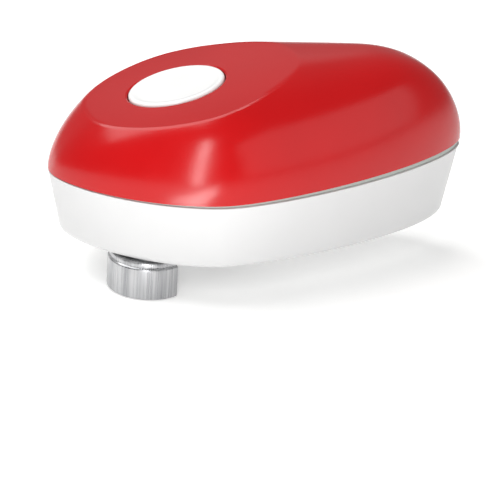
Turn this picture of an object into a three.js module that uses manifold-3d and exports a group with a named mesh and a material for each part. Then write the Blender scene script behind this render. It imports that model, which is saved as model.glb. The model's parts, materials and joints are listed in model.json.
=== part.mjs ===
// Battery can opener with a one-touch button: an egg-shaped body of two shells, which sits on the rim of
// a can and drives itself round it. Millimetres, +X towards the tail, +Z up, and z = 0 on the flat
// underside that rests on the rim. The nose with the cutter points along -X.
import * as THREE from 'three';
import { mergeVertices } from 'three/addons/utils/BufferGeometryUtils.js';
import Module from 'manifold-3d';

const wasm = await Module();
wasm.setup();

// Plan of the body at its seam: a nose and a tail that meet at the widest place.
const WIDEST_X = -14.4;
const HALF_WIDTH = 47;
const NOSE = { length: 53, rise: 1.64, close: 1.57 };
const TAIL = { length: 102, rise: 1.4, close: 1.52 };
const SHOULDER_SOFTNESS = 0.1;
const TIP_ROUNDING = 0.06;
const NOSE_X = WIDEST_X - NOSE.length;
const BODY_LENGTH = NOSE.length + TAIL.length;

// Heights along the body. The red shell ends at the seam, which rises slowly towards the tail, and the
// band under it widens from nothing at the nose.
const SEAM = { z: 25.8, slope: 0.041 };
const BAND = { z: 1.15, slope: 0.0125 };
const CROWN = { z: 63.5, slope: -0.007 };
const NOSE_ROLL = { share: 0.418, rise: 1.83, close: 1.565 };
const TAIL_ROLL = { share: 0.271, rise: 2.55, close: 1.567 };
const SIDE = { across: 2.7, up: 2.2 };
const DRAFT = 5;
const EDGE_RADIUS = 3.5;
const WALL = 2.3;
const FLOOR = 2.6;
const GAP = 0.35;

// The slanted facet on top, slightly curved both ways, and the button in it.
const FACET = { z: 58.61, slope: 0.2649, sag: 0.000377, top: -10, cross: 0.000819 };
const BUTTON = { x: -23.11, along: 17.2, across: 16.1, thickness: 3, proud: 0.3, clearance: 0.45 };
const STEM = { radius: 2.4, end: -11.4 };

// The cutting place: the guard's centre, and the direction from there to the middle of the can.
const GUARD = { x: -36, y: -19.5, outer: 14.2, inner: 13, neck: 13.5, bottom: -13.4, step: -2.4 };
const CAN_DIRECTION = 22;
const FEED = { reach: 10.2, radius: 5, teeth: 22, top: -1, bottom: -4.6 };
const CUTTER = { radius: 6, open: -6.7, closed: -2.1, swingRadius: 17, top: -3.3, bottom: -4.9 };
const STUD_RADIUS = 2;

// Gear layers, counted upwards from the gearbox's lower plate.
const BASE_PLATE = { bottom: 5.3, top: 6.8 };
const COVER_PLATE = { bottom: 21.3, top: 22.9 };
const LAYERS = [
  { bottom: 7.3, top: 10.1 },
  { bottom: 10.6, top: 13.4 },
  { bottom: 13.9, top: 16.7 },
  { bottom: 17.2, top: 20.8 },
];
const STAGES = [
  { pinion: 8, wheel: 34, module: 0.8 },
  { pinion: 8, wheel: 28, module: 0.9 },
  { pinion: 9, wheel: 31, module: 0.75 },
  { pinion: 8, wheel: 24, module: 1 },
];
const MOTOR = { x: -9.8, y: 14, radius: 12.2, bottom: 12.7, top: 40.8 };
const AXLE_RADIUS = 1.2;
const SHAFT_RADIUS = 2.4;

// Four AA cells in two layers, in a case that opens through the floor.
const CELL = { radius: 7.1, length: 50.5, pitch: 15, low: 10.6, front: 6.3, back: 8.7 };
const CASE = { front: 3.6, back: 62.4, half: 17, wall: 1.6, top: 34.9, bottom: 2.95 };
const DOOR = { front: 5.3, back: 56.2, half: 15, thickness: 2.3 };
const HINGE = { x: 6.45, z: 1.15 };

const red = new THREE.MeshStandardMaterial({ color: '#c4171b', roughness: 0.28, metalness: 0 });
const white = new THREE.MeshStandardMaterial({ color: '#f1f1ef', roughness: 0.25, metalness: 0 });
const grey = new THREE.MeshStandardMaterial({ color: '#a9aeaa', roughness: 0.45, metalness: 0 });
const steel = new THREE.MeshStandardMaterial({ color: '#c9cacc', roughness: 0.3, metalness: 1 });
const darkSteel = new THREE.MeshStandardMaterial({ color: '#8d9094', roughness: 0.35, metalness: 1 });
const brass = new THREE.MeshStandardMaterial({ color: '#c9a24b', roughness: 0.35, metalness: 1 });
const acetal = new THREE.MeshStandardMaterial({ color: '#e6e2d6', roughness: 0.5, metalness: 0 });
const black = new THREE.MeshStandardMaterial({ color: '#25262a', roughness: 0.5, metalness: 0 });
const board = new THREE.MeshStandardMaterial({ color: '#1f6b3a', roughness: 0.55, metalness: 0 });
const sleeve = new THREE.MeshStandardMaterial({ color: '#3c6e8f', roughness: 0.35, metalness: 0.2 });

const group = new THREE.Group();

function addMesh(name, geometry, material) {
  const mesh = new THREE.Mesh(geometry, material);
  mesh.name = name;
  group.add(mesh);
}

// Closed geometry to a solid that can be joined and cut, and back.
function solid(geometry) {
  const bare = new THREE.BufferGeometry();
  bare.setAttribute('position', geometry.getAttribute('position').clone());
  bare.setIndex(geometry.getIndex());
  const merged = mergeVertices(bare, 1e-4);
  const mesh = new wasm.Mesh({
    numProp: 3,
    vertProperties: new Float32Array(merged.getAttribute('position').array),
    triVerts: new Uint32Array(merged.getIndex().array),
  });
  return new wasm.Manifold(mesh);
}

function geometryOf(body) {
  const mesh = body.getMesh();
  const geometry = new THREE.BufferGeometry();
  geometry.setAttribute('position', new THREE.BufferAttribute(new Float32Array(mesh.vertProperties), 3));
  geometry.setIndex(new THREE.BufferAttribute(new Uint32Array(mesh.triVerts), 1));
  geometry.computeVertexNormals();
  return geometry;
}

function join(...bodies) {
  return bodies.reduce((whole, body) => whole.add(body));
}

function cut(body, ...tools) {
  return tools.reduce((rest, tool) => rest.subtract(tool), body);
}

function addSolid(name, body, material) {
  addMesh(name, geometryOf(body), material);
}

// An upright cylinder between two heights.
function rod(x, y, radius, bottom, top, sides = 16) {
  const geometry = new THREE.CylinderGeometry(radius, radius, top - bottom, sides);
  geometry.rotateX(Math.PI / 2);
  geometry.translate(x, y, (bottom + top) / 2);
  return geometry;
}

// A cylinder along X between two places.
function barAlongX(y, z, radius, from, to, sides = 16) {
  const geometry = new THREE.CylinderGeometry(radius, radius, to - from, sides);
  geometry.rotateZ(Math.PI / 2);
  geometry.translate((from + to) / 2, y, z);
  return geometry;
}

// A cylinder along Y between two places.
function barAlongY(x, z, radius, from, to, sides = 16) {
  const geometry = new THREE.CylinderGeometry(radius, radius, to - from, sides);
  geometry.translate(x, (from + to) / 2, z);
  return geometry;
}

function block(x0, x1, y0, y1, z0, z1) {
  const geometry = new THREE.BoxGeometry(x1 - x0, y1 - y0, z1 - z0);
  geometry.translate((x0 + x1) / 2, (y0 + y1) / 2, (z0 + z1) / 2);
  return geometry;
}

// A plan outline raised from one height to another.
function plate(points, bottom, top) {
  const shape = new THREE.Shape(points.map(([x, y]) => new THREE.Vector2(x, y)));
  const geometry = new THREE.ExtrudeGeometry(shape, { depth: top - bottom, bevelEnabled: false });
  geometry.translate(0, 0, bottom);
  return geometry;
}

// A turned piece about an upright axis, from pairs of radius and height.
function turned(profile, x, y, sides = 32) {
  const points = profile.map(([radius, z]) => new THREE.Vector2(radius, z));
  points.push(points[0].clone());
  const geometry = new THREE.LatheGeometry(points, sides);
  geometry.rotateX(Math.PI / 2);
  geometry.translate(x, y, 0);
  return geometry;
}

// A tube of small section along a smooth route.
function tube(points, radius, steps, sides = 5) {
  const route = new THREE.CatmullRomCurve3(points.map(([x, y, z]) => new THREE.Vector3(x, y, z)));
  const section = new THREE.Shape();
  for (let i = 0; i < sides; i += 1) {
    const angle = (2 * Math.PI * i) / sides;
    const place = [radius * Math.cos(angle), radius * Math.sin(angle)];
    if (i === 0) section.moveTo(...place);
    else section.lineTo(...place);
  }
  section.closePath();
  return new THREE.ExtrudeGeometry(section, { steps, extrudePath: route, bevelEnabled: false });
}

// A coil about the X axis through (y, z).
function coilAlongX(y, z, radius, wire, from, to, turns) {
  const points = [];
  const count = Math.round(turns * 8);
  for (let i = 0; i <= count; i += 1) {
    const angle = (2 * Math.PI * i) / 8;
    const x = from + ((to - from) * i) / count;
    points.push([x, y + radius * Math.cos(angle), z + radius * Math.sin(angle)]);
  }
  return tube(points, wire, count, 5);
}

function polar([x, y], distance, degrees) {
  const angle = THREE.MathUtils.degToRad(degrees);
  return [x + distance * Math.cos(angle), y + distance * Math.sin(angle)];
}

// The place at one distance from the first point and another from the second, on the nose side.
function meeting([ax, ay], fromA, [bx, by], fromB) {
  const span = Math.hypot(bx - ax, by - ay);
  const along = (fromA ** 2 - fromB ** 2 + span ** 2) / (2 * span);
  const aside = Math.sqrt(fromA ** 2 - along ** 2);
  const [ux, uy] = [(bx - ax) / span, (by - ay) / span];
  return [ax + along * ux - aside * uy, ay + along * uy + aside * ux];
}

// Half the body's width at x, for a body pulled in by `inset` all round.
function halfWidth(x, inset) {
  const end = x < WIDEST_X ? NOSE : TAIL;
  const share = Math.abs(x - WIDEST_X) / (end.length - inset);
  if (share > 1 - 1e-9) return 0;
  const taper = (1 - bend(share, end.rise) / bend(1, end.rise)) ** (1 / end.close);
  const tip = (1 - share + TIP_ROUNDING) / ((1 - share) * (1 + TIP_ROUNDING));
  return (HALF_WIDTH - inset) * taper * tip ** (1 / end.close - 0.5);
}

// A power curve whose start is rounded, so that the two ends meet in a soft shoulder.
function bend(share, rise) {
  return (share ** 2 + SHOULDER_SOFTNESS ** 2) ** (rise / 2) - SHOULDER_SOFTNESS ** rise;
}

// A point on the plan outline, by an angle about the widest place.
function outline(angle, inset) {
  const c = Math.cos(angle);
  const end = c < 0 ? NOSE : TAIL;
  const x = WIDEST_X + c * (end.length - inset);
  const side = Math.abs(Math.sin(angle)) < 1e-6 ? 0 : Math.sign(Math.sin(angle));
  return [x, side * halfWidth(x, inset)];
}

// Height of the ridge line along the top, which rolls down at the nose and the tail.
function ridge(x, inset) {
  const start = NOSE_X + inset;
  const finish = NOSE_X + BODY_LENGTH - inset;
  const length = finish - start;
  const nose = Math.max(0, 1 - (x - start) / (NOSE_ROLL.share * length));
  const tail = Math.max(0, 1 - (finish - x) / (TAIL_ROLL.share * length));
  const noseFall = Math.max(1 - nose ** NOSE_ROLL.rise, 0) ** (1 / NOSE_ROLL.close);
  const tailFall = Math.max(1 - tail ** TAIL_ROLL.rise, 0) ** (1 / TAIL_ROLL.close);
  const seam = SEAM.z + SEAM.slope * x;
  return seam + (CROWN.z + CROWN.slope * x - inset - seam) * noseFall * tailFall;
}

// Height of the dome over a place in plan: each cross-section is a superellipse on the seam.
function domeHeight(x, y, inset) {
  const seam = SEAM.z + SEAM.slope * x;
  const half = halfWidth(x, inset);
  if (half < 1e-6) return seam;
  const across = Math.min(Math.abs(y) / half, 1);
  return seam + (ridge(x, inset) - seam) * (1 - across ** SIDE.across) ** (1 / SIDE.up);
}

// The whole closed body, pulled in by `inset` and with its flat bottom at `bottom`.
function bodySkin(inset, bottom, columns, domeRows, arcRows) {
  const rows = domeRows + arcRows + 2;
  const geometry = new THREE.SphereGeometry(1, columns, rows);
  const { position, uv } = geometry.attributes;
  for (let i = 0; i < position.count; i += 1) {
    const row = Math.round((1 - uv.getY(i)) * rows);
    const pole = row === 0 || row === rows;
    const angle = pole ? 0 : Math.PI + 2 * Math.PI * uv.getX(i);
    position.setXYZ(i, ...skinPoint(row, angle, { inset, bottom, domeRows, arcRows, rows }));
  }
  return geometry;
}

function skinPoint(row, angle, { inset, bottom, domeRows, arcRows, rows }) {
  if (row === rows) return [0, 0, bottom];
  if (row <= domeRows) {
    const reach = Math.sin((row / domeRows) * (Math.PI / 2));
    const [ox, oy] = outline(angle, inset);
    const [x, y] = [ox * reach, oy * reach];
    const z = row === domeRows ? SEAM.z + SEAM.slope * x : domeHeight(x, y, inset);
    return [x, y, z];
  }
  const turn = ((row - domeRows - 1) / arcRows) * (Math.PI / 2);
  const radius = EDGE_RADIUS;
  const z = bottom + radius - radius * Math.sin(turn);
  const lean = DRAFT * (1 - (bottom + radius) / SEAM.z);
  const [x, y] = outline(angle, inset + lean + radius - radius * Math.cos(turn));
  return [x, y, z];
}

// Everything above a sloping plane that holds the Y direction.
function above(z, slope) {
  const reach = 200;
  const shape = [
    [-reach, z - slope * reach],
    [reach, z + slope * reach],
    [reach, z + slope * reach + reach],
    [-reach, z - slope * reach + reach],
  ];
  return wallAcross(shape, reach);
}

// An outline in the XZ plane, carried across the whole body.
function wallAcross(points, halfSpan) {
  const shape = new THREE.Shape(points.map(([x, z]) => new THREE.Vector2(x, z)));
  const geometry = new THREE.ExtrudeGeometry(shape, { depth: 2 * halfSpan, bevelEnabled: false });
  geometry.rotateX(Math.PI / 2);
  geometry.translate(0, halfSpan, 0);
  return solid(geometry);
}

function facetHeight(x, y = 0) {
  return FACET.z + FACET.slope * x - FACET.sag * (x - FACET.top) ** 2 - FACET.cross * y ** 2;
}

// Everything above the facet, lowered by `depth`: a box whose underside follows the facet.
function aboveFacet(depth) {
  const geometry = new THREE.BoxGeometry(220, 200, 1, 22, 20, 1);
  geometry.translate(10, 0, 0);
  const { position } = geometry.attributes;
  for (let i = 0; i < position.count; i += 1) {
    const under = facetHeight(position.getX(i), position.getY(i)) - depth;
    position.setZ(i, position.getZ(i) < 0 ? under : 200);
  }
  return solid(geometry);
}

// Turns a geometry made about the button's own axis, with +Z out of the facet, into its place.
function onFacet(geometry) {
  const slope = FACET.slope - 2 * FACET.sag * (BUTTON.x - FACET.top);
  geometry.rotateY(-Math.atan(slope));
  geometry.translate(BUTTON.x, 0, facetHeight(BUTTON.x));
  return geometry;
}

// An oval plate about the button's axis.
function oval(along, across, bottom, top, sides = 18) {
  const shape = new THREE.Shape();
  shape.absellipse(0, 0, along, across, 0, 2 * Math.PI);
  const options = { depth: top - bottom, bevelEnabled: false, curveSegments: sides };
  const geometry = new THREE.ExtrudeGeometry(shape, options);
  geometry.translate(0, 0, bottom);
  return onFacet(geometry);
}

function onAxis(radius, bottom, top, sides = 16) {
  return onFacet(rod(0, 0, radius, bottom, top, sides));
}

// A spur gear outline: straight-sided teeth, thin enough to run free in its partner.
function gearPoints(teeth, module, phase) {
  const pitch = (2 * Math.PI) / teeth;
  const radius = (teeth * module) / 2;
  const [root, tip] = [radius - 1.15 * module, radius + 0.8 * module];
  const points = [];
  for (let i = 0; i < teeth; i += 1) {
    const middle = phase + i * pitch;
    for (const [r, half] of [[root, 0.3], [tip, 0.1]]) points.push([r, middle - half * pitch]);
    for (const [r, half] of [[tip, 0.1], [root, 0.3]]) points.push([r, middle + half * pitch]);
  }
  return points.map(([r, angle]) => [r * Math.cos(angle), r * Math.sin(angle)]);
}

function gear([x, y], teeth, module, phase, bottom, top) {
  const geometry = plate(gearPoints(teeth, module, phase), bottom, top);
  geometry.translate(x, y, 0);
  return solid(geometry);
}

// The phase that puts the second gear's gaps on the first gear's teeth.
function meshPhase(from, teethFrom, phaseFrom, to, teethTo) {
  const line = Math.atan2(to[1] - from[1], to[0] - from[0]);
  const share = ((line - phaseFrom) * teethFrom) / (2 * Math.PI);
  return line + Math.PI - ((2 * Math.PI) / teethTo) * (0.5 - share);
}

// How far apart the two axes of a stage stand.
function spread({ pinion, wheel, module }) {
  return (module * (pinion + wheel)) / 2;
}

// Places of the upright axes.
const guardAt = [GUARD.x, GUARD.y];
const feedAt = polar(guardAt, FEED.reach, CAN_DIRECTION);
const cutterAt = polar(guardAt, CUTTER.open, CAN_DIRECTION);
const cutterShutAt = polar(guardAt, CUTTER.closed, CAN_DIRECTION);
const swingMiddle = polar(guardAt, (CUTTER.open + CUTTER.closed) / 2, CAN_DIRECTION);
const pivotAt = polar(swingMiddle, CUTTER.swingRadius, CAN_DIRECTION + 90);
const motorAt = [MOTOR.x, MOTOR.y];
const firstAt = polar(motorAt, spread(STAGES[0]), 170);
const secondAt = polar(firstAt, spread(STAGES[1]), 230);
const thirdAt = meeting(feedAt, spread(STAGES[3]), secondAt, spread(STAGES[2]));
const magnetAt = polar(feedAt, 18, CAN_DIRECTION);
const pillars = [[-9, -22], [-6, 30.5], [-53, 11.5]];
const tabsAt = [polar(guardAt, 9.6, 125), polar(guardAt, 9.6, 277)];
const housingScrews = [[-55.5, 0], [6, -30], [6, 30], [70, 0]];
const BOSS_TOP = 19.6;

const outer = solid(bodySkin(0, 0, 60, 12, 3));
const inner = solid(bodySkin(WALL, FLOOR, 36, 7, 2));
const shaped = outer.subtract(aboveFacet(0));
const hollow = inner.subtract(aboveFacet(WALL + 0.1));

function upperHousing() {
  const wall = shaped.subtract(hollow).intersect(above(SEAM.z, SEAM.slope));
  const bosses = housingScrews.map(([x, y]) => solid(rod(x, y, 3.2, BOSS_TOP + 0.5, 70)));
  const holes = housingScrews.map(([x, y]) => solid(rod(x, y, 1.75, BOSS_TOP, 30.5, 12)));
  const { along, across, clearance } = BUTTON;
  const opening = solid(oval(along + clearance, across + clearance, -8, 8));
  const body = join(wall, ...bosses.map((boss) => boss.intersect(shaped)));
  addSolid('upper_housing', cut(body, opening, ...holes), red);
}

function lowerHousing() {
  const lip = above(SEAM.z - BAND.z, SEAM.slope - BAND.slope);
  const wall = outer.subtract(inner).subtract(lip);
  const posts = [
    ...housingScrews.map(([x, y]) => rod(x, y, 4.3, FLOOR - 1, BOSS_TOP)),
    ...pillars.map(([x, y]) => rod(x, y, 3, FLOOR - 1, BASE_PLATE.bottom - GAP)),
  ];
  const holes = [
    ...housingScrews.map(([x, y]) => rod(x, y, 1.75, -1, BOSS_TOP + 1, 10)),
    ...housingScrews.map(([x, y]) => rod(x, y, 3, -1, 3.4)),
    ...pillars.slice(0, 2).map(([x, y]) => rod(x, y, 1.4, 1.6, 6, 10)),
    ...tabsAt.map(([x, y]) => rod(x, y, 1.2, -1, FLOOR + 1, 10)),
    rod(...feedAt, 4.5, -1, FLOOR + 1, 28),
    rod(...magnetAt, 7.2, -1, FLOOR + 1, 32),
    rod(...pivotAt, 1.8, 0.8, FLOOR + 1, 16),
    block(DOOR.front - GAP, DOOR.back + GAP, -DOOR.half - GAP, DOOR.half + GAP, -1, FLOOR + 1),
    block(DOOR.back - 2, DOOR.back + 2.4, -5, 5, -1, 1.3),
    block(HINGE.x - 0.95, HINGE.x + 0.95, -17.3, 17.3, 0.3, FLOOR + 1),
  ];
  const stadium = slot(cutterAt, cutterShutAt, STUD_RADIUS + 0.9, -1, FLOOR + 1);
  const body = join(wall, ...posts.map((post) => solid(post).intersect(outer)));
  addSolid('lower_housing', cut(body, stadium, ...holes.map(solid)), white);
}

// A hole with round ends between two places.
function slot(from, to, radius, bottom, top) {
  const angle = Math.atan2(to[1] - from[1], to[0] - from[0]);
  const length = Math.hypot(to[0] - from[0], to[1] - from[1]);
  const middle = block(0, length, -radius, radius, bottom, top);
  middle.rotateZ(angle);
  middle.translate(from[0], from[1], 0);
  return join(solid(rod(...from, radius, bottom, top)), solid(middle), solid(rod(...to, radius, bottom, top)));
}

// The band has a tongue inside both shells and a lip that fills the wedge between them.
function seamTrimBand() {
  const low = SEAM.z - BAND.z;
  const lowSlope = SEAM.slope - BAND.slope;
  const tongue = solid(bodySkin(WALL + GAP, FLOOR, 36, 7, 2))
    .subtract(solid(bodySkin(WALL + GAP + 1.3, FLOOR, 36, 7, 2)))
    .intersect(above(low - 2.2, lowSlope))
    .subtract(above(SEAM.z + 2.2, SEAM.slope));
  const lip = solid(bodySkin(0.7, FLOOR, 36, 7, 2))
    .subtract(solid(bodySkin(WALL + GAP + 0.6, FLOOR, 36, 7, 2)))
    .intersect(above(low + 0.2, lowSlope))
    .subtract(above(SEAM.z - 0.2, SEAM.slope));
  const notches = housingScrews.map(([x, y]) => solid(rod(x, y, 4.9, 0, 60)));
  addSolid('seam_trim_band', cut(join(tongue, lip), ...notches), grey);
}

function startButton() {
  const { along, across, thickness, proud } = BUTTON;
  const crown = solid(oval(along - 0.5, across - 0.5, -thickness, proud));
  const skirt = solid(oval(along, across, -thickness, proud - 0.5));
  const stem = solid(onAxis(STEM.radius, STEM.end, -thickness + 0.5));
  addSolid('start_button', join(crown, skirt, stem), white);
}

function buttonCup() {
  const ring = solid(oval(19.6, 18.4, -8.4, -2.9));
  const room = solid(oval(18, 16.9, -6.8, 0));
  const guide = solid(onAxis(4.2, -10.2, -5.5));
  const bore = solid(onAxis(STEM.radius + GAP, -12, 0));
  const trim = hollow.intersect(solid(bodySkin(WALL + GAP, FLOOR, 36, 7, 2)));
  const tray = join(cut(ring, room), guide).intersect(trim.subtract(aboveFacet(WALL + 0.5)));
  addSolid('button_cup', cut(tray, bore), black);
}

function buttonSpring() {
  const turns = 2.5;
  const count = turns * 10;
  const points = [];
  for (let i = 0; i <= count; i += 1) {
    const angle = (2 * Math.PI * i) / 10;
    points.push([6 * Math.cos(angle), 6 * Math.sin(angle), -6.3 + (2.8 * i) / count]);
  }
  addSolid('button_return_spring', solid(onFacet(tube(points, 0.3, count, 5))), steel);
}

function switchParts() {
  const { x, end } = switchPlace();
  const body = block(x - 9.9, x + 2.9, -3.2, 3.2, 33.1, end - 2.2);
  const bore = rod(x, 0, 1.35, 35.2, end, 14);
  addSolid('microswitch', cut(solid(body), solid(bore)), black);
  addSolid('switch_plunger', solid(rod(x, 0, 1, 37.4, end - 0.35, 14)), red);
}

// Where the lowest edge of the button's stem stands.
function switchPlace() {
  const slope = FACET.slope - 2 * FACET.sag * (BUTTON.x - FACET.top);
  const tilt = Math.atan(slope);
  const x = BUTTON.x - STEM.end * Math.sin(tilt);
  const end = facetHeight(BUTTON.x) + STEM.end * Math.cos(tilt) - STEM.radius * Math.sin(tilt);
  return { x, end };
}

function controlBoard() {
  const parts = [
    block(-46, -16.6, -18, 3, 31.2, 32.8),
    block(-41, -33, -14, -7, 32.5, 34.6),
    rod(-28, -12, 3.1, 32.5, 39.5, 14),
    block(-24, -18.5, -15, -8, 32.5, 36.5),
    block(-44.5, -42, -3, 2, 32.5, 35),
  ];
  addSolid('control_board', join(...parts.map(solid)), board);
}

function motorParts() {
  const { x, y, radius, bottom, top } = MOTOR;
  const shell = join(
    solid(rod(x, y, radius, bottom, top, 32)),
    solid(rod(x, y, 3, bottom - 1.4, bottom + 1)),
    solid(rod(x, y, 3.6, top - 1, top + 1.6)),
    solid(block(x - 8.4, x - 7.6, y - 1.2, y + 1.2, top - 1, top + 2.6)),
    solid(block(x + 7.6, x + 8.4, y - 1.2, y + 1.2, top - 1, top + 2.6)),
  );
  const screwHoles = motorScrewPlaces().map(([sx, sy]) => solid(rod(sx, sy, 1.1, bottom - 1, bottom + 4, 12)));
  addSolid('motor', cut(shell, solid(rod(x, y, 1.4, bottom - 3, 30, 16)), ...screwHoles), steel);
  addSolid('motor_shaft', solid(rod(x, y, 1, LAYERS[0].bottom - 0.2, 29, 16)), darkSteel);
  const [stage, layer] = [STAGES[0], LAYERS[0]];
  const pinion = gear(motorAt, stage.pinion, stage.module, phases[0], layer.bottom, layer.top);
  addSolid('motor_pinion', cut(pinion, solid(rod(x, y, 1.3, 0, 20, 12))), brass);
}

function motorScrewPlaces() {
  return [polar(motorAt, 8, 80), polar(motorAt, 8, 260)];
}

function motorBracket() {
  const [, backPillar] = pillars;
  const [low, high] = [11, 12.35];
  const parts = [
    solid(rod(...motorAt, MOTOR.radius, low, high, 32)),
    solid(rod(...backPillar, 4, low, high)),
    slot(motorAt, backPillar, 3.2, low, high),
  ];
  const holes = [
    solid(rod(...motorAt, 3.4, 0, 30)),
    solid(rod(...backPillar, 2.2 + GAP, 0, 30)),
    ...motorScrewPlaces().map(([x, y]) => solid(rod(x, y, 1.1, 0, 30, 12))),
  ];
  addSolid('motor_bracket', cut(join(...parts), ...holes), steel);
  motorScrewPlaces().forEach(([x, y], i) => {
    const screw = join(solid(rod(x, y, 1.6, 9.6, 10.65, 14)), solid(rod(x, y, 0.8, 10.5, 15.8, 12)));
    addSolid(`motor_screw_${i + 1}`, screw, darkSteel);
  });
}

// Turns of the gears at rest, from the motor to the drive gear.
const axes = [motorAt, firstAt, secondAt, thirdAt, feedAt];
const phases = [0];
STAGES.forEach(({ pinion, wheel }, i) => {
  phases.push(meshPhase(axes[i], pinion, phases[i], axes[i + 1], wheel));
});

// A wheel with the next stage's pinion moulded on top of it, turning on a fixed pin.
function reductionGear(name, stage) {
  const [{ wheel, module }, next] = [STAGES[stage], STAGES[stage + 1]];
  const at = axes[stage + 1];
  const phase = phases[stage + 1];
  const [low, high] = [LAYERS[stage], LAYERS[stage + 1]];
  const body = join(
    gear(at, wheel, module, phase, low.bottom, low.top),
    gear(at, next.pinion, next.module, phase, low.top - 0.3, high.top),
  );
  addSolid(name, cut(body, solid(rod(...at, AXLE_RADIUS + 0.3, 0, 30, 12))), acetal);
}

function gearTrain() {
  ['first', 'second', 'third'].forEach((order, i) => {
    reductionGear(`${order}_reduction_gear`, i);
    addSolid(`gear_axle_${i + 1}`, solid(rod(...axes[i + 1], AXLE_RADIUS, 5.6, 22.6, 12)), darkSteel);
  });
  const { wheel, module } = STAGES[3];
  const driveWheel = gear(feedAt, wheel, module, phases[4], LAYERS[3].bottom, LAYERS[3].top);
  addSolid('drive_gear', cut(driveWheel, solid(rod(...feedAt, SHAFT_RADIUS + 0.3, 0, 30))), acetal);
}

// The gearbox's two plates share one outline, which goes round the nose screw.
const plateOutline = [
  [-2, -3], [1.5, 4], [1.5, 22], [-3, 34.5], [-30, 33.5], [-48, 20.5], [-54.6, 13.4], [-57, 6.8],
  [-50, 6], [-49.8, -6], [-51, -14.5], [-44.5, -22], [-30, -30.5], [-8, -29], [-2, -20],
];

function gearbox() {
  const axlePlaces = [firstAt, secondAt, thirdAt];
  const pins = axlePlaces.map((at) => solid(rod(...at, AXLE_RADIUS + 0.3, 0, 30, 16)));
  const posts = pillars.map(([x, y]) => solid(rod(x, y, 2.2, BASE_PLATE.top - 0.5, COVER_PLATE.bottom - GAP)));
  const peg = solid(rod(...pillars[2], 1.4, COVER_PLATE.bottom - 1, COVER_PLATE.top - 0.2, 14));
  const screwHoles = pillars.slice(0, 2).map(([x, y]) => solid(rod(x, y, 1.2, 0, 30, 12)));
  const shaftHole = solid(rod(...feedAt, SHAFT_RADIUS + 0.4, 0, 10));
  const base = join(solid(plate(plateOutline, BASE_PLATE.bottom, BASE_PLATE.top)), ...posts, peg);
  addSolid('gearbox_base', cut(base, shaftHole, ...pins, ...screwHoles), acetal);

  const boardPosts = [[-43.5, -15.5], [-43.5, 0.5], [-19, -15.5]];
  const cover = join(
    solid(plate(plateOutline, COVER_PLATE.bottom, COVER_PLATE.top)),
    ...boardPosts.map(([x, y]) => solid(rod(x, y, 1.8, COVER_PLATE.top - 0.5, 30.9, 14))),
  );
  const openings = [
    solid(rod(...motorAt, MOTOR.radius + 0.5, 0, 30, 32)),
    solid(rod(...feedAt, 1.7, 0, 30, 14)),
    solid(rod(...pillars[2], 1.4 + GAP, 0, 30, 14)),
  ];
  addSolid('gearbox_cover', cut(cover, ...openings, ...pins, ...screwHoles), acetal);
  pillars.slice(0, 2).forEach(([x, y], i) => {
    const head = solid(rod(x, y, 2.1, COVER_PLATE.top + 0.3, COVER_PLATE.top + 1.6, 16));
    const shank = solid(rod(x, y, 0.9, 2, COVER_PLATE.top + 0.5, 12));
    addSolid(`gearbox_screw_${i + 1}`, join(head, shank), darkSteel);
  });
}

function driveParts() {
  const shaft = join(
    solid(rod(...feedAt, SHAFT_RADIUS, FEED.bottom - 0.1, COVER_PLATE.bottom - 0.4)),
    solid(rod(...feedAt, 1.3, COVER_PLATE.bottom - 1, COVER_PLATE.top - 0.2, 14)),
  );
  addSolid('drive_shaft', cut(shaft, solid(rod(...feedAt, 1.3, -8, 0.6, 14))), darkSteel);

  const teeth = [];
  for (let i = 0; i < FEED.teeth; i += 1) {
    const middle = (2 * Math.PI * i) / FEED.teeth;
    const half = Math.PI / FEED.teeth;
    teeth.push([(FEED.radius - 0.6) * Math.cos(middle - half), (FEED.radius - 0.6) * Math.sin(middle - half)]);
    teeth.push([FEED.radius * Math.cos(middle), FEED.radius * Math.sin(middle)]);
  }
  const wheel = plate(teeth, FEED.bottom, FEED.top);
  wheel.translate(...feedAt, 0);
  addSolid('feed_wheel', cut(solid(wheel), solid(rod(...feedAt, SHAFT_RADIUS + 0.3, -8, 0))), steel);

  const screw = join(
    solid(rod(...feedAt, 3.4, FEED.bottom - 1.7, FEED.bottom - 0.4)),
    solid(rod(...feedAt, 1, FEED.bottom - 0.6, 0, 10)),
  );
  const socket = solid(block(-2.4, 2.4, -0.4, 0.4, -8, FEED.bottom - 1.1).translate(...feedAt, 0));
  addSolid('feed_wheel_screw', cut(screw, socket), darkSteel);

  const bushing = join(
    solid(rod(...feedAt, 4.15, -0.5, 4.9, 28)),
    solid(rod(...feedAt, 6, FLOOR + GAP, 4.1, 28)),
  );
  addSolid('drive_bushing', cut(bushing, solid(rod(...feedAt, SHAFT_RADIUS + 0.3, -2, 8))), brass);
}

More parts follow.
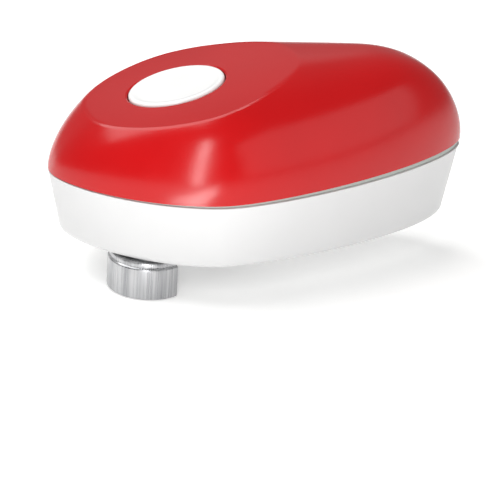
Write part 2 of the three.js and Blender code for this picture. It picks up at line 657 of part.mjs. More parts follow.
function cutterParts() {
  const [armLow, armHigh] = [FLOOR + 1, FLOOR + 2.2];
  const arm = join(
    slot(pivotAt, cutterAt, 2.8, armLow, armHigh),
    solid(rod(...pivotAt, 3.9, armLow, armHigh)),
    solid(rod(...cutterAt, 3.1, armLow, armHigh)),
  );
  const armHoles = [rod(...pivotAt, 1.8, 0, 8, 16), rod(...cutterAt, STUD_RADIUS + 0.3, 0, 8)];
  addSolid('cutter_arm', cut(arm, ...armHoles.map(solid)), steel);
  addSolid('cutter_pivot_pin', solid(rod(...pivotAt, 1.5, 1.1, 5, 16)), darkSteel);

  const stud = join(
    solid(rod(...cutterAt, STUD_RADIUS, -7.3, armHigh - 0.1)),
    solid(rod(...cutterAt, 3.4, CUTTER.top + 0.3, -0.5)),
  );
  addSolid('cutter_axle', stud, darkSteel);

  const bore = STUD_RADIUS + 0.3;
  const blade = [
    [bore, CUTTER.bottom], [4.4, CUTTER.bottom], [CUTTER.radius, -4.25],
    [CUTTER.radius, -4.05], [4.4, CUTTER.top], [bore, CUTTER.top],
  ];
  addSolid('cutter_blade', solid(turned(blade, ...cutterAt, 40)), steel);
  const nut = cut(solid(rod(...cutterAt, 3.6, -6.9, -5.2, 6)), solid(rod(...cutterAt, bore, -8, 0)));
  addSolid('cutter_nut', nut, darkSteel);
}

// The guard is a drawn cup, open towards the can, with a stepped neck and a flange under the floor.
function cutterGuard() {
  const { outer: wide, inner: bore, neck, bottom, step } = GUARD;
  const profile = [
    [bore, bottom + 0.2], [bore + 0.2, bottom], [wide - 0.2, bottom], [wide, bottom + 0.2],
    [wide, step], [neck, step + 0.7], [neck, -0.3], [10.8, -0.3], [10.8, -1.5], [bore - 0.7, -1.5],
    [bore - 0.7, step + 0.3], [bore, step - 0.4],
  ];
  const tabs = tabsAt.map(([x, y]) => solid(rod(x, y, 3.2, -1.5, -0.3)));
  const cup = join(solid(turned(profile, GUARD.x, GUARD.y, 60)), ...tabs);
  const mouth = [[0, 0]];
  for (let degrees = -60; degrees <= 104; degrees += 20.5) mouth.push(polar([0, 0], 30, degrees));
  const sector = plate(mouth, -20, 5);
  sector.translate(GUARD.x, GUARD.y, 0);
  const holes = tabsAt.map(([x, y]) => solid(rod(x, y, 1.3, -5, 5, 14)));
  addSolid('cutter_guard', cut(cup, solid(sector), ...holes), steel);
  tabsAt.forEach(([x, y], i) => {
    const screw = join(solid(rod(x, y, 2.1, -2.9, -1.85, 16)), solid(rod(x, y, 0.85, -2, 2.2, 12)));
    addSolid(`guard_screw_${i + 1}`, screw, darkSteel);
  });
}

function lidMagnet() {
  const holder = cut(
    join(solid(rod(...magnetAt, 6.85, -2.6, 3.2, 32)), solid(rod(...magnetAt, 8.6, FLOOR + GAP, 4.1, 32))),
    solid(rod(...magnetAt, 5.5, -4, 0.3, 28)),
  );
  addSolid('magnet_holder', holder, black);
  addSolid('lid_magnet', solid(rod(...magnetAt, 5.15, -2.4, 0, 28)), darkSteel);
}

// Cells lie head to tail, so that the contacts join them in a row.
const cells = [
  { y: -1, z: 0, headBack: true },
  { y: 1, z: 0, headBack: false },
  { y: 1, z: 1, headBack: true },
  { y: -1, z: 1, headBack: false },
].map(({ y, z, headBack }) => ({ y: (y * CELL.pitch) / 2 + y * 0.1, z: CELL.low + z * CELL.pitch, headBack }));

function batteryCells() {
  cells.forEach(({ y, z, headBack }, i) => {
    const start = headBack ? CELL.back : CELL.front;
    const finish = start + CELL.length;
    const [bodyFrom, bodyTo] = headBack ? [start, finish - 1.2] : [start + 1.2, finish];
    const body = solid(barAlongX(y, z, CELL.radius, bodyFrom, bodyTo, 24));
    const head = solid(barAlongX(y, z, 2.7, start + (headBack ? 5 : 0), finish - (headBack ? 0 : 5), 14));
    addSolid(`battery_cell_${i + 1}`, join(body, head), sleeve);
  });
}

function batteryCase() {
  const { front, back, half, wall, top, bottom } = CASE;
  const box = solid(block(front, back, -half, half, bottom, top));
  const room = solid(block(front + wall, back - wall, -half + wall, half - wall, 0, top - wall));
  const leadHoles = [cells[0], cells[3]].map(({ y, z }) => solid(barAlongX(y, z, 1.4, 0, 8, 10)));
  const fitted = box.intersect(solid(bodySkin(WALL + GAP, FLOOR + 0.2, 36, 7, 2)));
  addSolid('battery_case', cut(fitted, room, ...leadHoles), black);
}

function batteryDoor() {
  const { front, back, half, thickness } = DOOR;
  const panel = solid(block(HINGE.x, back, -half, half, 0, thickness));
  const barrel = solid(barAlongY(HINGE.x, HINGE.z, thickness / 2, -half, half, 16));
  const stubs = solid(barAlongY(HINGE.x, HINGE.z, 0.6, -half - 1.9, half + 1.9, 10));
  const notch = solid(block(back - 1.6, back + 1, -5, 5, -1, 1.3));
  const ribs = [-9, 0, 9].map((y) => solid(block(front + 7, back - 6, y - 0.5, y + 0.5, 2, 3)));
  addSolid('battery_door', join(cut(join(panel, barrel), notch), stubs, ...ribs), white);
}

// A contact strip with a coil for each cell whose flat end it touches.
function contact(name, members, atBack, wide) {
  const [from, to] = atBack ? [59.6, 60.1] : [5.5, 6];
  const ys = members.map(({ y }) => y);
  const zs = members.map(({ z }) => z);
  const [left, right] = [Math.min(...ys) - wide, Math.max(...ys) + wide];
  const [low, high] = [Math.min(...zs) - wide, Math.max(...zs) + wide];
  const strip = solid(block(from, to, left, right, low, high));
  const coils = members.filter(({ headBack }) => headBack !== atBack);
  const bodies = coils.map(({ y, z }) => {
    const ends = atBack ? [57.6, 59.7] : [5.9, 8];
    return solid(coilAlongX(y, z, 3, 0.35, ...ends, 1.5));
  });
  addSolid(name, join(strip, ...bodies), steel);
}

function batteryContacts() {
  const [a, b, c, d] = cells;
  contact('rear_bridge_lower', [a, b], true, 4.2);
  contact('rear_bridge_upper', [c, d], true, 4.2);
  contact('front_bridge', [b, c], false, 4.2);
  contact('front_terminal_negative', [a], false, 4.2);
  contact('front_terminal_positive', [d], false, 4.2);
}

function screws() {
  housingScrews.forEach(([x, y], i) => {
    const screw = join(solid(rod(x, y, 2.6, 1, 3)), solid(rod(x, y, 1.35, 2.8, 30, 10)));
    const cross = join(
      solid(block(-1.6, 1.6, -0.35, 0.35, 0, 1.9)),
      solid(block(-0.35, 0.35, -1.6, 1.6, 0, 1.9)),
    ).translate([x, y, 0]);
    addSolid(`housing_screw_${i + 1}`, cut(screw, cross), darkSteel);
  });
}

function leads() {
  const [a, , , d] = cells;
  const routes = {
    battery_lead_negative: [
      [4.8, a.y, a.z], [3, a.y, a.z], [1.5, a.y - 0.2, a.z + 1.5], [0.9, -8.5, 17], [0.4, -9, 24],
      [-3, -11, 31], [-9, -13.5, 34.8], [-14.5, -14.4, 34.8], [-17.3, -14.6, 33.9],
    ],
    battery_lead_positive: [
      [4.9, d.y, d.z], [3.2, d.y, d.z], [1.4, d.y + 0.3, d.z + 1.5], [-3, -6, 32], [-9, -5, 35],
      [-14, -5, 34.9], [-17.3, -5.3, 33.9],
    ],
    motor_lead_negative: [
      [-19.3, 14, 42.4], [-23, 14, 42], [-27.5, 12, 38.6], [-30.5, 6.5, 35], [-31.5, 2, 33.9],
    ],
    motor_lead_positive: [
      [-1.2, 16, 42.7], [-3.5, 22.5, 43], [-14, 26.8, 42.6], [-26, 23, 41], [-33, 13, 36.5],
      [-36.5, 6, 34.6], [-37.5, 1.5, 33.9],
    ],
  };
  Object.entries(routes).forEach(([name, points]) => {
    addSolid(name, solid(tube(points, 0.7, 12)), name.endsWith('positive') ? red : black);
  });
}

upperHousing();
lowerHousing();
seamTrimBand();
startButton();
buttonCup();
buttonSpring();
switchParts();
controlBoard();
motorParts();
motorBracket();
gearTrain();
gearbox();
driveParts();
cutterParts();
cutterGuard();
lidMagnet();
batteryCells();
batteryCase();
batteryDoor();
batteryContacts();
screws();
leads();

export default group;
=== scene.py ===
"""Looks of a battery can opener: a two-tone egg-shaped body on a steel cutter guard.

Sizes are in millimetres until a mesh is made, and +X points to the tail, +Z up.
"""
import json
import logging
import math
from dataclasses import dataclass, field
from enum import Enum, auto

import bpy
import numpy as np
from mathutils import Matrix, Vector


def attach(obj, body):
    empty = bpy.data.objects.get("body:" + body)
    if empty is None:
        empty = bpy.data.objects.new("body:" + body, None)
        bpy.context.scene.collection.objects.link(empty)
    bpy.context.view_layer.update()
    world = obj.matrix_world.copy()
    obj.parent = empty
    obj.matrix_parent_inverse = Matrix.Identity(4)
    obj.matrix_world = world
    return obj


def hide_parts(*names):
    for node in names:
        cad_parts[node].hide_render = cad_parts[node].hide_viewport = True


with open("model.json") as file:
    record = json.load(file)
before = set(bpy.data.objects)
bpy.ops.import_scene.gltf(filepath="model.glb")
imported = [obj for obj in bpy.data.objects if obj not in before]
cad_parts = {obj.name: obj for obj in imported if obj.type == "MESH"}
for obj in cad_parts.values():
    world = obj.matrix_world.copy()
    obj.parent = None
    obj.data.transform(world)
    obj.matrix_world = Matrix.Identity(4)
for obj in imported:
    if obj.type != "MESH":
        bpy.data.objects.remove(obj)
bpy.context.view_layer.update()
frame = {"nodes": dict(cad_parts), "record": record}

MM = 0.001
LOG = logging.getLogger("can_opener")
FULL_TURN = 2.0 * math.pi
Surface = tuple[np.ndarray, list[list[int]]]


class Closure(Enum):
    """How a grid of rings becomes a closed surface."""

    LOOP = auto()   # the last ring joins the first, as on a bent tube
    POLES = auto()  # a point closes each end, as on a globe
    CAPS = auto()   # a flat face closes each end, as on a sawn rail


# ---- Meshes ----


def once_round(columns: int) -> np.ndarray:
    """Angles evenly spaced over one turn, from nought up to but not including the whole turn."""
    return np.linspace(0.0, FULL_TURN, columns, endpoint=False)


def grid_faces(rows: int, columns: int, wrap_rows: bool) -> np.ndarray:
    """Quads between neighbouring rings of points.

    Args:
        rows: number of rings.
        columns: points in each ring, which closes on itself.
        wrap_rows: whether the last ring joins the first.

    Returns:
        An array of four point numbers for each face.
    """
    last = rows if wrap_rows else rows - 1
    row, column = np.meshgrid(np.arange(last), np.arange(columns), indexing="ij")
    below = (row + 1) % rows
    beside = (column + 1) % columns
    corners = (row * columns + column, below * columns + column,
               below * columns + beside, row * columns + beside)
    return np.stack([corner.ravel() for corner in corners], axis=1)


def signed_volume(points: np.ndarray, faces: list[list[int]]) -> float:
    """Volume inside the faces, which is negative where they face inwards.

    Each face is a fan of triangles from its first corner, and each triangle adds a sixth of the
    triple product of its corners.

    Args:
        points: places of the corners.
        faces: corner numbers of each face, in order round it.

    Returns:
        The volume.
    """
    total = 0.0
    by_size: dict[int, list[list[int]]] = {}
    for face in faces:
        by_size.setdefault(len(face), []).append(face)
    for size, group in by_size.items():
        corners = points[np.array(group)]
        for i in range(1, size - 1):
            cross = np.cross(corners[:, i], corners[:, i + 1])
            total += float(np.einsum("ij,ij->", corners[:, 0], cross)) / 6.0
    return total


def closed_surface(rings: np.ndarray, closure: Closure) -> Surface:
    """Turns rings of points into a closed surface that faces outwards.

    Args:
        rings: points in the order ring, place round the ring, coordinate.
        closure: how the first and last ring are closed.

    Returns:
        The points and the faces.
    """
    rows, columns, _ = rings.shape
    points = rings.reshape(-1, 3)
    faces = grid_faces(rows, columns, closure is Closure.LOOP).tolist()
    first = list(range(columns))
    last = list(range((rows - 1) * columns, rows * columns))
    if closure is Closure.CAPS:
        faces.append(first)
        faces.append(last[::-1])
    if closure is Closure.POLES:
        ends = np.array([rings[0].mean(axis=0), rings[-1].mean(axis=0)])
        top, bottom = len(points), len(points) + 1
        points = np.concatenate([points, ends])
        for i in range(columns):
            j = (i + 1) % columns
            faces.append([top, first[i], first[j]])
            faces.append([bottom, last[j], last[i]])
    if signed_volume(points, faces) < 0.0:
        faces = [face[::-1] for face in faces]
    return points, faces


def make_piece(name: str, shells: list[Surface],
               sharp_deg: float = 30.0) -> bpy.types.Object:
    """Makes one object of closed surfaces.

    Args:
        name: the object's name.
        shells: points and faces of each closed surface.
        sharp_deg: angle from which an edge is drawn sharp.

    Returns:
        The object, with its place in its mesh.
    """
    points, faces, start = [], [], 0
    for shell_points, shell_faces in shells:
        points.append(shell_points)
        faces.extend([[i + start for i in face] for face in shell_faces])
        start += len(shell_points)
    mesh = bpy.data.meshes.new(name)
    mesh.from_pydata((np.concatenate(points) * MM).tolist(), [], faces)
    mesh.update()
    mesh.shade_smooth()
    mesh.set_sharp_from_angle(angle=math.radians(sharp_deg))
    piece = bpy.data.objects.new(name, mesh)
    bpy.context.scene.collection.objects.link(piece)
    return piece


def turned_rings(profile: list[tuple[float, float]], centre: tuple[float, float],
                 columns: int = 64) -> np.ndarray:
    """Rings of a turned piece: each pair of radius and height goes once round an upright axis.

    Args:
        profile: pairs of radius and height.
        centre: the axis in plan.
        columns: points in each ring.

    Returns:
        Points in the order ring, place round the ring, coordinate.
    """
    turn = once_round(columns)
    radius = np.array([r for r, _ in profile])[:, None]
    height = np.array([z for _, z in profile])[:, None]
    x = centre[0] + radius * np.cos(turn)
    y = centre[1] + radius * np.sin(turn)
    return np.stack([x, y, np.broadcast_to(height, x.shape)], axis=2)


def rounded_rectangle(x0: float, x1: float, half: float, corner: float,
                      steps: int = 8) -> np.ndarray:
    """Outline in plan of a rectangle with a quarter circle at each corner.

    Args:
        x0: its front.
        x1: its back.
        half: half its width, which lies evenly about the middle.
        corner: radius of its corners.
        steps: points on each corner.

    Returns:
        Places in plan, in order round it.
    """
    arc = np.linspace(0.0, math.pi / 2, steps)
    centres = [(x1 - corner, half - corner), (x0 + corner, half - corner),
               (x0 + corner, corner - half), (x1 - corner, corner - half)]
    parts = []
    for quarter, (cx, cy) in enumerate(centres):
        angle = arc + quarter * math.pi / 2
        parts.append(np.stack([cx + corner * np.cos(angle), cy + corner * np.sin(angle)], axis=1))
    return np.concatenate(parts)


def ring_at(plan: np.ndarray, z: np.ndarray | float) -> np.ndarray:
    """Lifts an outline in plan to one height, or to a height for each place."""
    return np.column_stack([plan, np.broadcast_to(z, len(plan))])


def raised(outline: np.ndarray, heights: list[float]) -> np.ndarray:
    """Rings that repeat one plan outline at each height."""
    return np.array([ring_at(outline, z) for z in heights])


def carve(piece: bpy.types.Object, cutter: bpy.types.Object, sharp_deg: float) -> None:
    """Takes the cutter's shape out of the piece and throws the cutter away.

    Args:
        piece: the object that is cut.
        cutter: closed surfaces to take out of it.
        sharp_deg: angle from which an edge of the cut piece is drawn sharp.
    """
    modifier = piece.modifiers.new("carve", "BOOLEAN")
    modifier.operation = "DIFFERENCE"
    modifier.solver = "EXACT"
    modifier.object = cutter
    evaluated = piece.evaluated_get(bpy.context.evaluated_depsgraph_get())
    carved = bpy.data.meshes.new_from_object(evaluated)
    piece.modifiers.clear()
    old = piece.data
    piece.data = carved
    bpy.data.meshes.remove(old)
    bpy.data.objects.remove(cutter)
    carved.shade_smooth()
    carved.set_sharp_from_angle(angle=math.radians(sharp_deg))


def dress(piece: bpy.types.Object, finishes: "Finishes", body: str, slot: str,
          *stands_for: str) -> None:
    """Gives a new piece its finish and its body, and names the CAD nodes that it stands for.

    Args:
        piece: the new piece.
        finishes: every finish, and the list of nodes replaced so far.
        body: the body that it rides on.
        slot: the record's material slot.
        *stands_for: the CAD nodes that it replaces.
    """
    piece.data.materials.clear()
    piece.data.materials.append(finishes.by_slot[slot])
    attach(piece, body)
    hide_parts(*stands_for)
    finishes.replaced.update(stands_for)
    LOG.info("%s: %d faces, rides on %s", piece.name, len(piece.data.polygons), body)


# ---- Finishes ----

# most of a noise's values lie between these two
MIDDLE: dict[str | int, object] = {"From Min": 0.3, "From Max": 0.7}
# numbers of a mix node's colour sockets: two in, one out
FIRST_COLOUR, SECOND_COLOUR, MIXED_COLOUR = 6, 7, 2


def linear(hex_colour: str) -> tuple[float, float, float, float]:
    """Turns an sRGB colour into the linear values that shaders take.

    Args:
        hex_colour: the colour as a hash and six hex digits.

    Returns:
        Red, green, blue and a full alpha.
    """
    channels = [int(hex_colour[i:i + 2], 16) / 255.0 for i in (1, 3, 5)]
    values = [c / 12.92 if c <= 0.04045 else ((c + 0.055) / 1.055) ** 2.4 for c in channels]
    return (values[0], values[1], values[2], 1.0)


def wire(tree: bpy.types.NodeTree, node: bpy.types.Node,
         links: dict[str | int, bpy.types.NodeSocket]) -> None:
    """Feeds a node's inputs, by name or number, from other nodes' outputs."""
    for name, output in links.items():
        tree.links.new(output, node.inputs[name])


def add_node(tree: bpy.types.NodeTree, kind: str, values: dict[str | int, object] | None = None,
             links: dict[str | int, bpy.types.NodeSocket] | None = None,
             **settings: object) -> bpy.types.Node:
    """Adds one shader node.

    Args:
        tree: the material's nodes.
        kind: the node's type name.
        values: input name or number to fixed value.
        links: input name or number to the output that feeds it.
        **settings: the node's own options.

    Returns:
        The node.
    """
    node = tree.nodes.new(kind)
    for name, value in settings.items():
        setattr(node, name, value)
    for name, value in (values or {}).items():
        node.inputs[name].default_value = value
    wire(tree, node, links or {})
    return node


def mottle(tree: bpy.types.NodeTree, size_mm: float, detail: float,
           stretch: tuple[float, float, float] = (1.0, 1.0, 1.0)) -> bpy.types.NodeSocket:
    """A soft pattern with marks of about one real size.

    Args:
        tree: the material's nodes.
        size_mm: the size of a mark.
        detail: how many finer layers the marks have.
        stretch: how many times longer a mark is along each axis.

    Returns:
        The pattern's value, which varies about a half.
    """
    place = add_node(tree, "ShaderNodeTexCoord").outputs["Object"]
    drawn_out = add_node(tree, "ShaderNodeMapping", {"Scale": tuple(1.0 / s for s in stretch)},
                         {"Vector": place}).outputs["Vector"]
    values = {"Scale": 1.0 / (size_mm * MM), "Detail": detail, "Roughness": 0.5}
    return add_node(tree, "ShaderNodeTexNoise", values, {"Vector": drawn_out}).outputs["Fac"]


def new_material(name: str, **shader_values: object) -> tuple[bpy.types.Material, bpy.types.Node]:
    """An empty material with its principled shader.

    Args:
        name: the finish's common name.
        **shader_values: what is the same all over, by input name with _ for each space.

    Returns:
        The material and its shader.
    """
    material = bpy.data.materials.new(name)
    material.use_nodes = True
    shader = material.node_tree.nodes["Principled BSDF"]
    for key, value in shader_values.items():
        shader.inputs[key.replace("_", " ")].default_value = value
    return material, shader


@dataclass(frozen=True)
class MouldedPlastic:
    """Injection-moulded plastic, such as ABS: even colour, a faint orange peel and fine grain.

    The peel makes highlights wander a little, and the roughness varies as handling polishes it.
    """

    name: str
    light: str
    dark: str
    roughness: float = 0.28
    peel_mm: float = 5.0
    peel_depth_mm: float = 0.012
    grain_mm: float = 0.35
    grain_depth_mm: float = 0.002
    ior: float = 1.53
    specular: float = 0.5
    drift_mm: float = 28.0
    handling_mm: float = 9.0
    handling_change: float = 0.08

    def build(self) -> bpy.types.Material:
        """Makes the material.

        Returns:
            The material.
        """
        material, shader = new_material(self.name, IOR=self.ior, Specular_IOR_Level=self.specular)
        tree = material.node_tree
        drift = add_node(tree, "ShaderNodeMapRange", MIDDLE,
                         {"Value": mottle(tree, self.drift_mm, 3.0)})
        colour = add_node(tree, "ShaderNodeMix",
                          {FIRST_COLOUR: linear(self.light), SECOND_COLOUR: linear(self.dark)},
                          {"Factor": drift.outputs["Result"]}, data_type="RGBA")
        limits = {"To Min": self.roughness * (1.0 - self.handling_change),
                  "To Max": self.roughness * (1.0 + self.handling_change)}
        gloss = add_node(tree, "ShaderNodeMapRange", MIDDLE | limits,
                         {"Value": mottle(tree, self.handling_mm, 4.0)})
        peel = add_node(tree, "ShaderNodeBump",
                        {"Strength": 1.0, "Distance": self.peel_depth_mm * MM},
                        {"Height": mottle(tree, self.peel_mm, 1.0)})
        grain = add_node(tree, "ShaderNodeBump",
                         {"Strength": 1.0, "Distance": self.grain_depth_mm * MM},
                         {"Height": mottle(tree, self.grain_mm, 2.0),
                          "Normal": peel.outputs["Normal"]})
        wire(tree, shader, {"Base Color": colour.outputs[MIXED_COLOUR],
                            "Roughness": gloss.outputs["Result"],
                            "Normal": grain.outputs["Normal"]})
        return material


@dataclass(frozen=True)
class GroundSteel:
    """Metal with grinding, turning or drawing marks, which may be drawn out along an axis."""

    name: str
    light: str
    dark: str
    roughness: float = 0.28
    mark_mm: float = 0.4
    stretch: tuple[float, float, float] = (1.0, 1.0, 60.0)
    depth_mm: float = 0.006
    band_mm: float = 5.0
    smoothest: float = 0.75
    roughest: float = 1.3

    def build(self) -> bpy.types.Material:
        """Makes the material.

        Returns:
            The material.
        """
        material, shader = new_material(self.name, Metallic=1.0)
        tree = material.node_tree
        marks = mottle(tree, self.mark_mm, 3.0, self.stretch)
        bands = mottle(tree, self.band_mm, 1.0, self.stretch)
        total = add_node(tree, "ShaderNodeMath", None, {0: marks, 1: bands}, operation="ADD")
        mean = add_node(tree, "ShaderNodeMath", {1: 0.5}, {0: total.outputs[0]},
                        operation="MULTIPLY")
        shade = add_node(tree, "ShaderNodeMapRange", MIDDLE, {"Value": mean.outputs[0]})
        colour = add_node(tree, "ShaderNodeMix",
                          {FIRST_COLOUR: linear(self.dark), SECOND_COLOUR: linear(self.light)},
                          {"Factor": shade.outputs["Result"]}, data_type="RGBA")
        limits = {"To Min": self.roughness * self.smoothest,
                  "To Max": self.roughness * self.roughest}
        gloss = add_node(tree, "ShaderNodeMapRange", MIDDLE | limits, {"Value": marks})
        relief = add_node(tree, "ShaderNodeBump",
                          {"Strength": 1.0, "Distance": self.depth_mm * MM}, {"Height": marks})
        wire(tree, shader, {"Base Color": colour.outputs[MIXED_COLOUR],
                            "Roughness": gloss.outputs["Result"],
                            "Normal": relief.outputs["Normal"]})
        return material


@dataclass(frozen=True)
class SolderMask:
    """Circuit board: green lacquer with lighter square pads, which lie a little lower."""

    name: str
    light: str = "#2f8a4c"
    dark: str = "#17502c"
    pad_mm: float = 1.6
    pitch: float = 2.5
    pad_depth_mm: float = 0.03

    def build(self) -> bpy.types.Material:
        """Makes the material.

        Returns:
            The material.
        """
        material, shader = new_material(self.name, Roughness=0.35, IOR=1.5)
        tree = material.node_tree
        place = add_node(tree, "ShaderNodeTexCoord").outputs["Object"]
        pads = add_node(tree, "ShaderNodeTexVoronoi",
                          {"Scale": 1.0 / (self.pad_mm * self.pitch * MM)}, {"Vector": place},
                          distance="CHEBYCHEV")
        edge = add_node(tree, "ShaderNodeMapRange", {"From Min": 0.25, "From Max": 0.35},
                        {"Value": pads.outputs["Distance"]}).outputs["Result"]
        colour = add_node(tree, "ShaderNodeMix",
                          {FIRST_COLOUR: linear(self.light), SECOND_COLOUR: linear(self.dark)},
                          {"Factor": edge}, data_type="RGBA")
        relief = add_node(tree, "ShaderNodeBump",
                          {"Strength": 0.6, "Distance": self.pad_depth_mm * MM}, {"Height": edge})
        wire(tree, shader, {"Base Color": colour.outputs[MIXED_COLOUR],
                            "Normal": relief.outputs["Normal"]})
        return material


@dataclass(frozen=True)
class CellSleeve:
    """Printed film shrunk round a battery: a coloured body and a dark band near one end."""

    name: str
    body: str = "#2e6d8c"
    band: str = "#20262b"
    band_start_mm: float = 40.0
    band_edge_mm: float = 0.1
    wrinkle_mm: float = 2.5
    wrinkle_depth_mm: float = 0.02

    def build(self) -> bpy.types.Material:
        """Makes the material.

        Returns:
            The material.
        """
        material, shader = new_material(self.name, Roughness=0.3, Metallic=0.25)
        tree = material.node_tree
        place = add_node(tree, "ShaderNodeTexCoord").outputs["Object"]
        along = add_node(tree, "ShaderNodeSeparateXYZ", None, {"Vector": place}).outputs["X"]
        start = self.band_start_mm * MM
        ends = {"From Min": start, "From Max": start + self.band_edge_mm * MM}
        band = add_node(tree, "ShaderNodeMapRange", ends, {"Value": along}).outputs["Result"]
        colour = add_node(tree, "ShaderNodeMix",
                          {FIRST_COLOUR: linear(self.body), SECOND_COLOUR: linear(self.band)},
                          {"Factor": band}, data_type="RGBA")
        relief = add_node(tree, "ShaderNodeBump",
                          {"Strength": 0.5, "Distance": self.wrinkle_depth_mm * MM},
                          {"Height": mottle(tree, self.wrinkle_mm, 2.0)})
        wire(tree, shader, {"Base Color": colour.outputs[MIXED_COLOUR],
                            "Normal": relief.outputs["Normal"]})
        return material


@dataclass
class Finishes:
    """Every finish on the object, by the record's material slot, and the CAD nodes replaced."""

    by_slot: dict[str, bpy.types.Material] = field(default_factory=dict)
    replaced: set[str] = field(default_factory=set)

    def build(self) -> None:
        """Makes one material for each slot."""
        kinds = {
            # glossy ABS, dyed through: deep red with broad soft highlights
            "red_shell": MouldedPlastic("red_glossy_abs", "#b9080c", "#b4060a", 0.22,
                                        peel_depth_mm=0.003, specular=0.38),
            # glossy ABS, dyed white: a neutral white with a faint mould grain
            "white_shell": MouldedPlastic("white_glossy_abs", "#d0d0d0", "#cdcdcd", 0.34,
                                          peel_depth_mm=0.004),
            # glossy ABS in a warmer white: brighter than the tub, with a crisp highlight
            "white_button": MouldedPlastic("white_button_abs", "#f4f4f3", "#eeeeed", 0.24),
            # spark-eroded mould: matt, with a grain that scatters light
            "grey_trim": MouldedPlastic("grey_textured_abs", "#adb3ad", "#a2a8a3", 0.55,
                                        grain_depth_mm=0.02),
            # moulded nylon: dark grey with a satin grain
            "black_plastic": MouldedPlastic("black_moulded_nylon", "#26272a", "#1c1d20", 0.45,
                                            grain_depth_mm=0.012),
            # soft PVC round the leads: red with a half gloss
            "red_plastic": MouldedPlastic("red_moulded_pvc", "#b8221f", "#a51b19", 0.42),
            # moulded acetal: creamy white with a waxy half gloss
            "gear_plastic": MouldedPlastic("natural_acetal", "#ece8dc", "#e0dbcd", 0.42,
                                           grain_depth_mm=0.006),
            # glass-filled nylon: pale grey and dull, because its fibres break up the shine
            "gearbox_plastic": MouldedPlastic("grey_glass_filled_nylon", "#cfcdc6", "#c0beb6", 0.5,
                                              grain_depth_mm=0.015),
            # lacquer over copper: green, with lighter pads a little below it
            "circuit_board": SolderMask("green_solder_mask"),
            # ground stainless: bright and even, with a very fine grain
            "bright_steel": GroundSteel("ground_stainless", "#dcdcdd", "#b4b5b8", 0.25,
                                        stretch=(1.0, 1.0, 1.0), depth_mm=0.003),
            # drawn stainless brushed upright: vertical streaks in light and dark
            "guard_steel": GroundSteel("upright_brushed_stainless", "#d2d2d3", "#8c8d90", 0.3,
                                       mark_mm=0.45, stretch=(1.0, 1.0, 80.0), band_mm=4.0),
            # nickel-plated spring wire: bright and even, with a slightly yellow tone
            "spring_steel": GroundSteel("nickel_plated_spring_steel", "#d6d5d0", "#b3b1aa", 0.22,
                                        stretch=(1.0, 1.0, 1.0), depth_mm=0.002),
            # oiled steel: a darker grey with a soft sheen
            "dark_steel": GroundSteel("oiled_dark_steel", "#8f9297", "#65686d", 0.34,
                                      stretch=(1.0, 1.0, 4.0), depth_mm=0.004),
            # turned brass: yellow, with fine marks round the piece
            "brass": GroundSteel("turned_brass", "#d8b565", "#b28b3c", 0.26,
                                 stretch=(20.0, 20.0, 1.0), depth_mm=0.004),
            # plated drawn steel: light grey, with faint drawing marks
            "motor_can": GroundSteel("plated_motor_can", "#c9cbcd", "#a7aaad", 0.3,
                                     stretch=(1.0, 1.0, 20.0), depth_mm=0.004),
            # nickel plate over a pressed magnet: mid grey and slightly dull
            "magnet": GroundSteel("nickel_plated_magnet", "#8c8d91", "#66676b", 0.35,
                                  stretch=(1.0, 1.0, 1.0), depth_mm=0.006),
            # printed film: a dull blue with a half metallic shine
            "cell_sleeve": CellSleeve("battery_sleeve_film"),
        }
        for slot, kind in kinds.items():
            self.by_slot[slot] = kind.build()

    def carry_over(self) -> None:
        """Dresses every CAD node that keeps its own shape."""
        slots = {part["node"]: part["material_slot"] for part in frame["record"]["subparts"]}
        for name, node in frame["nodes"].items():
            if name in self.replaced:
                continue
            node.data.materials.clear()
            node.data.materials.append(self.by_slot[slots[name]])
            LOG.info("%s: carried over in %s", name, slots[name])


# ---- The body's form ----


@dataclass(frozen=True)
class End:
    """One end of the plan outline: its length and the two powers that shape it."""

    length: float
    rise: float
    close: float


@dataclass(frozen=True)
class Roll:
    """How the ridge line falls at one end: the share of the length and two powers."""

    share: float
    rise: float
    close: float


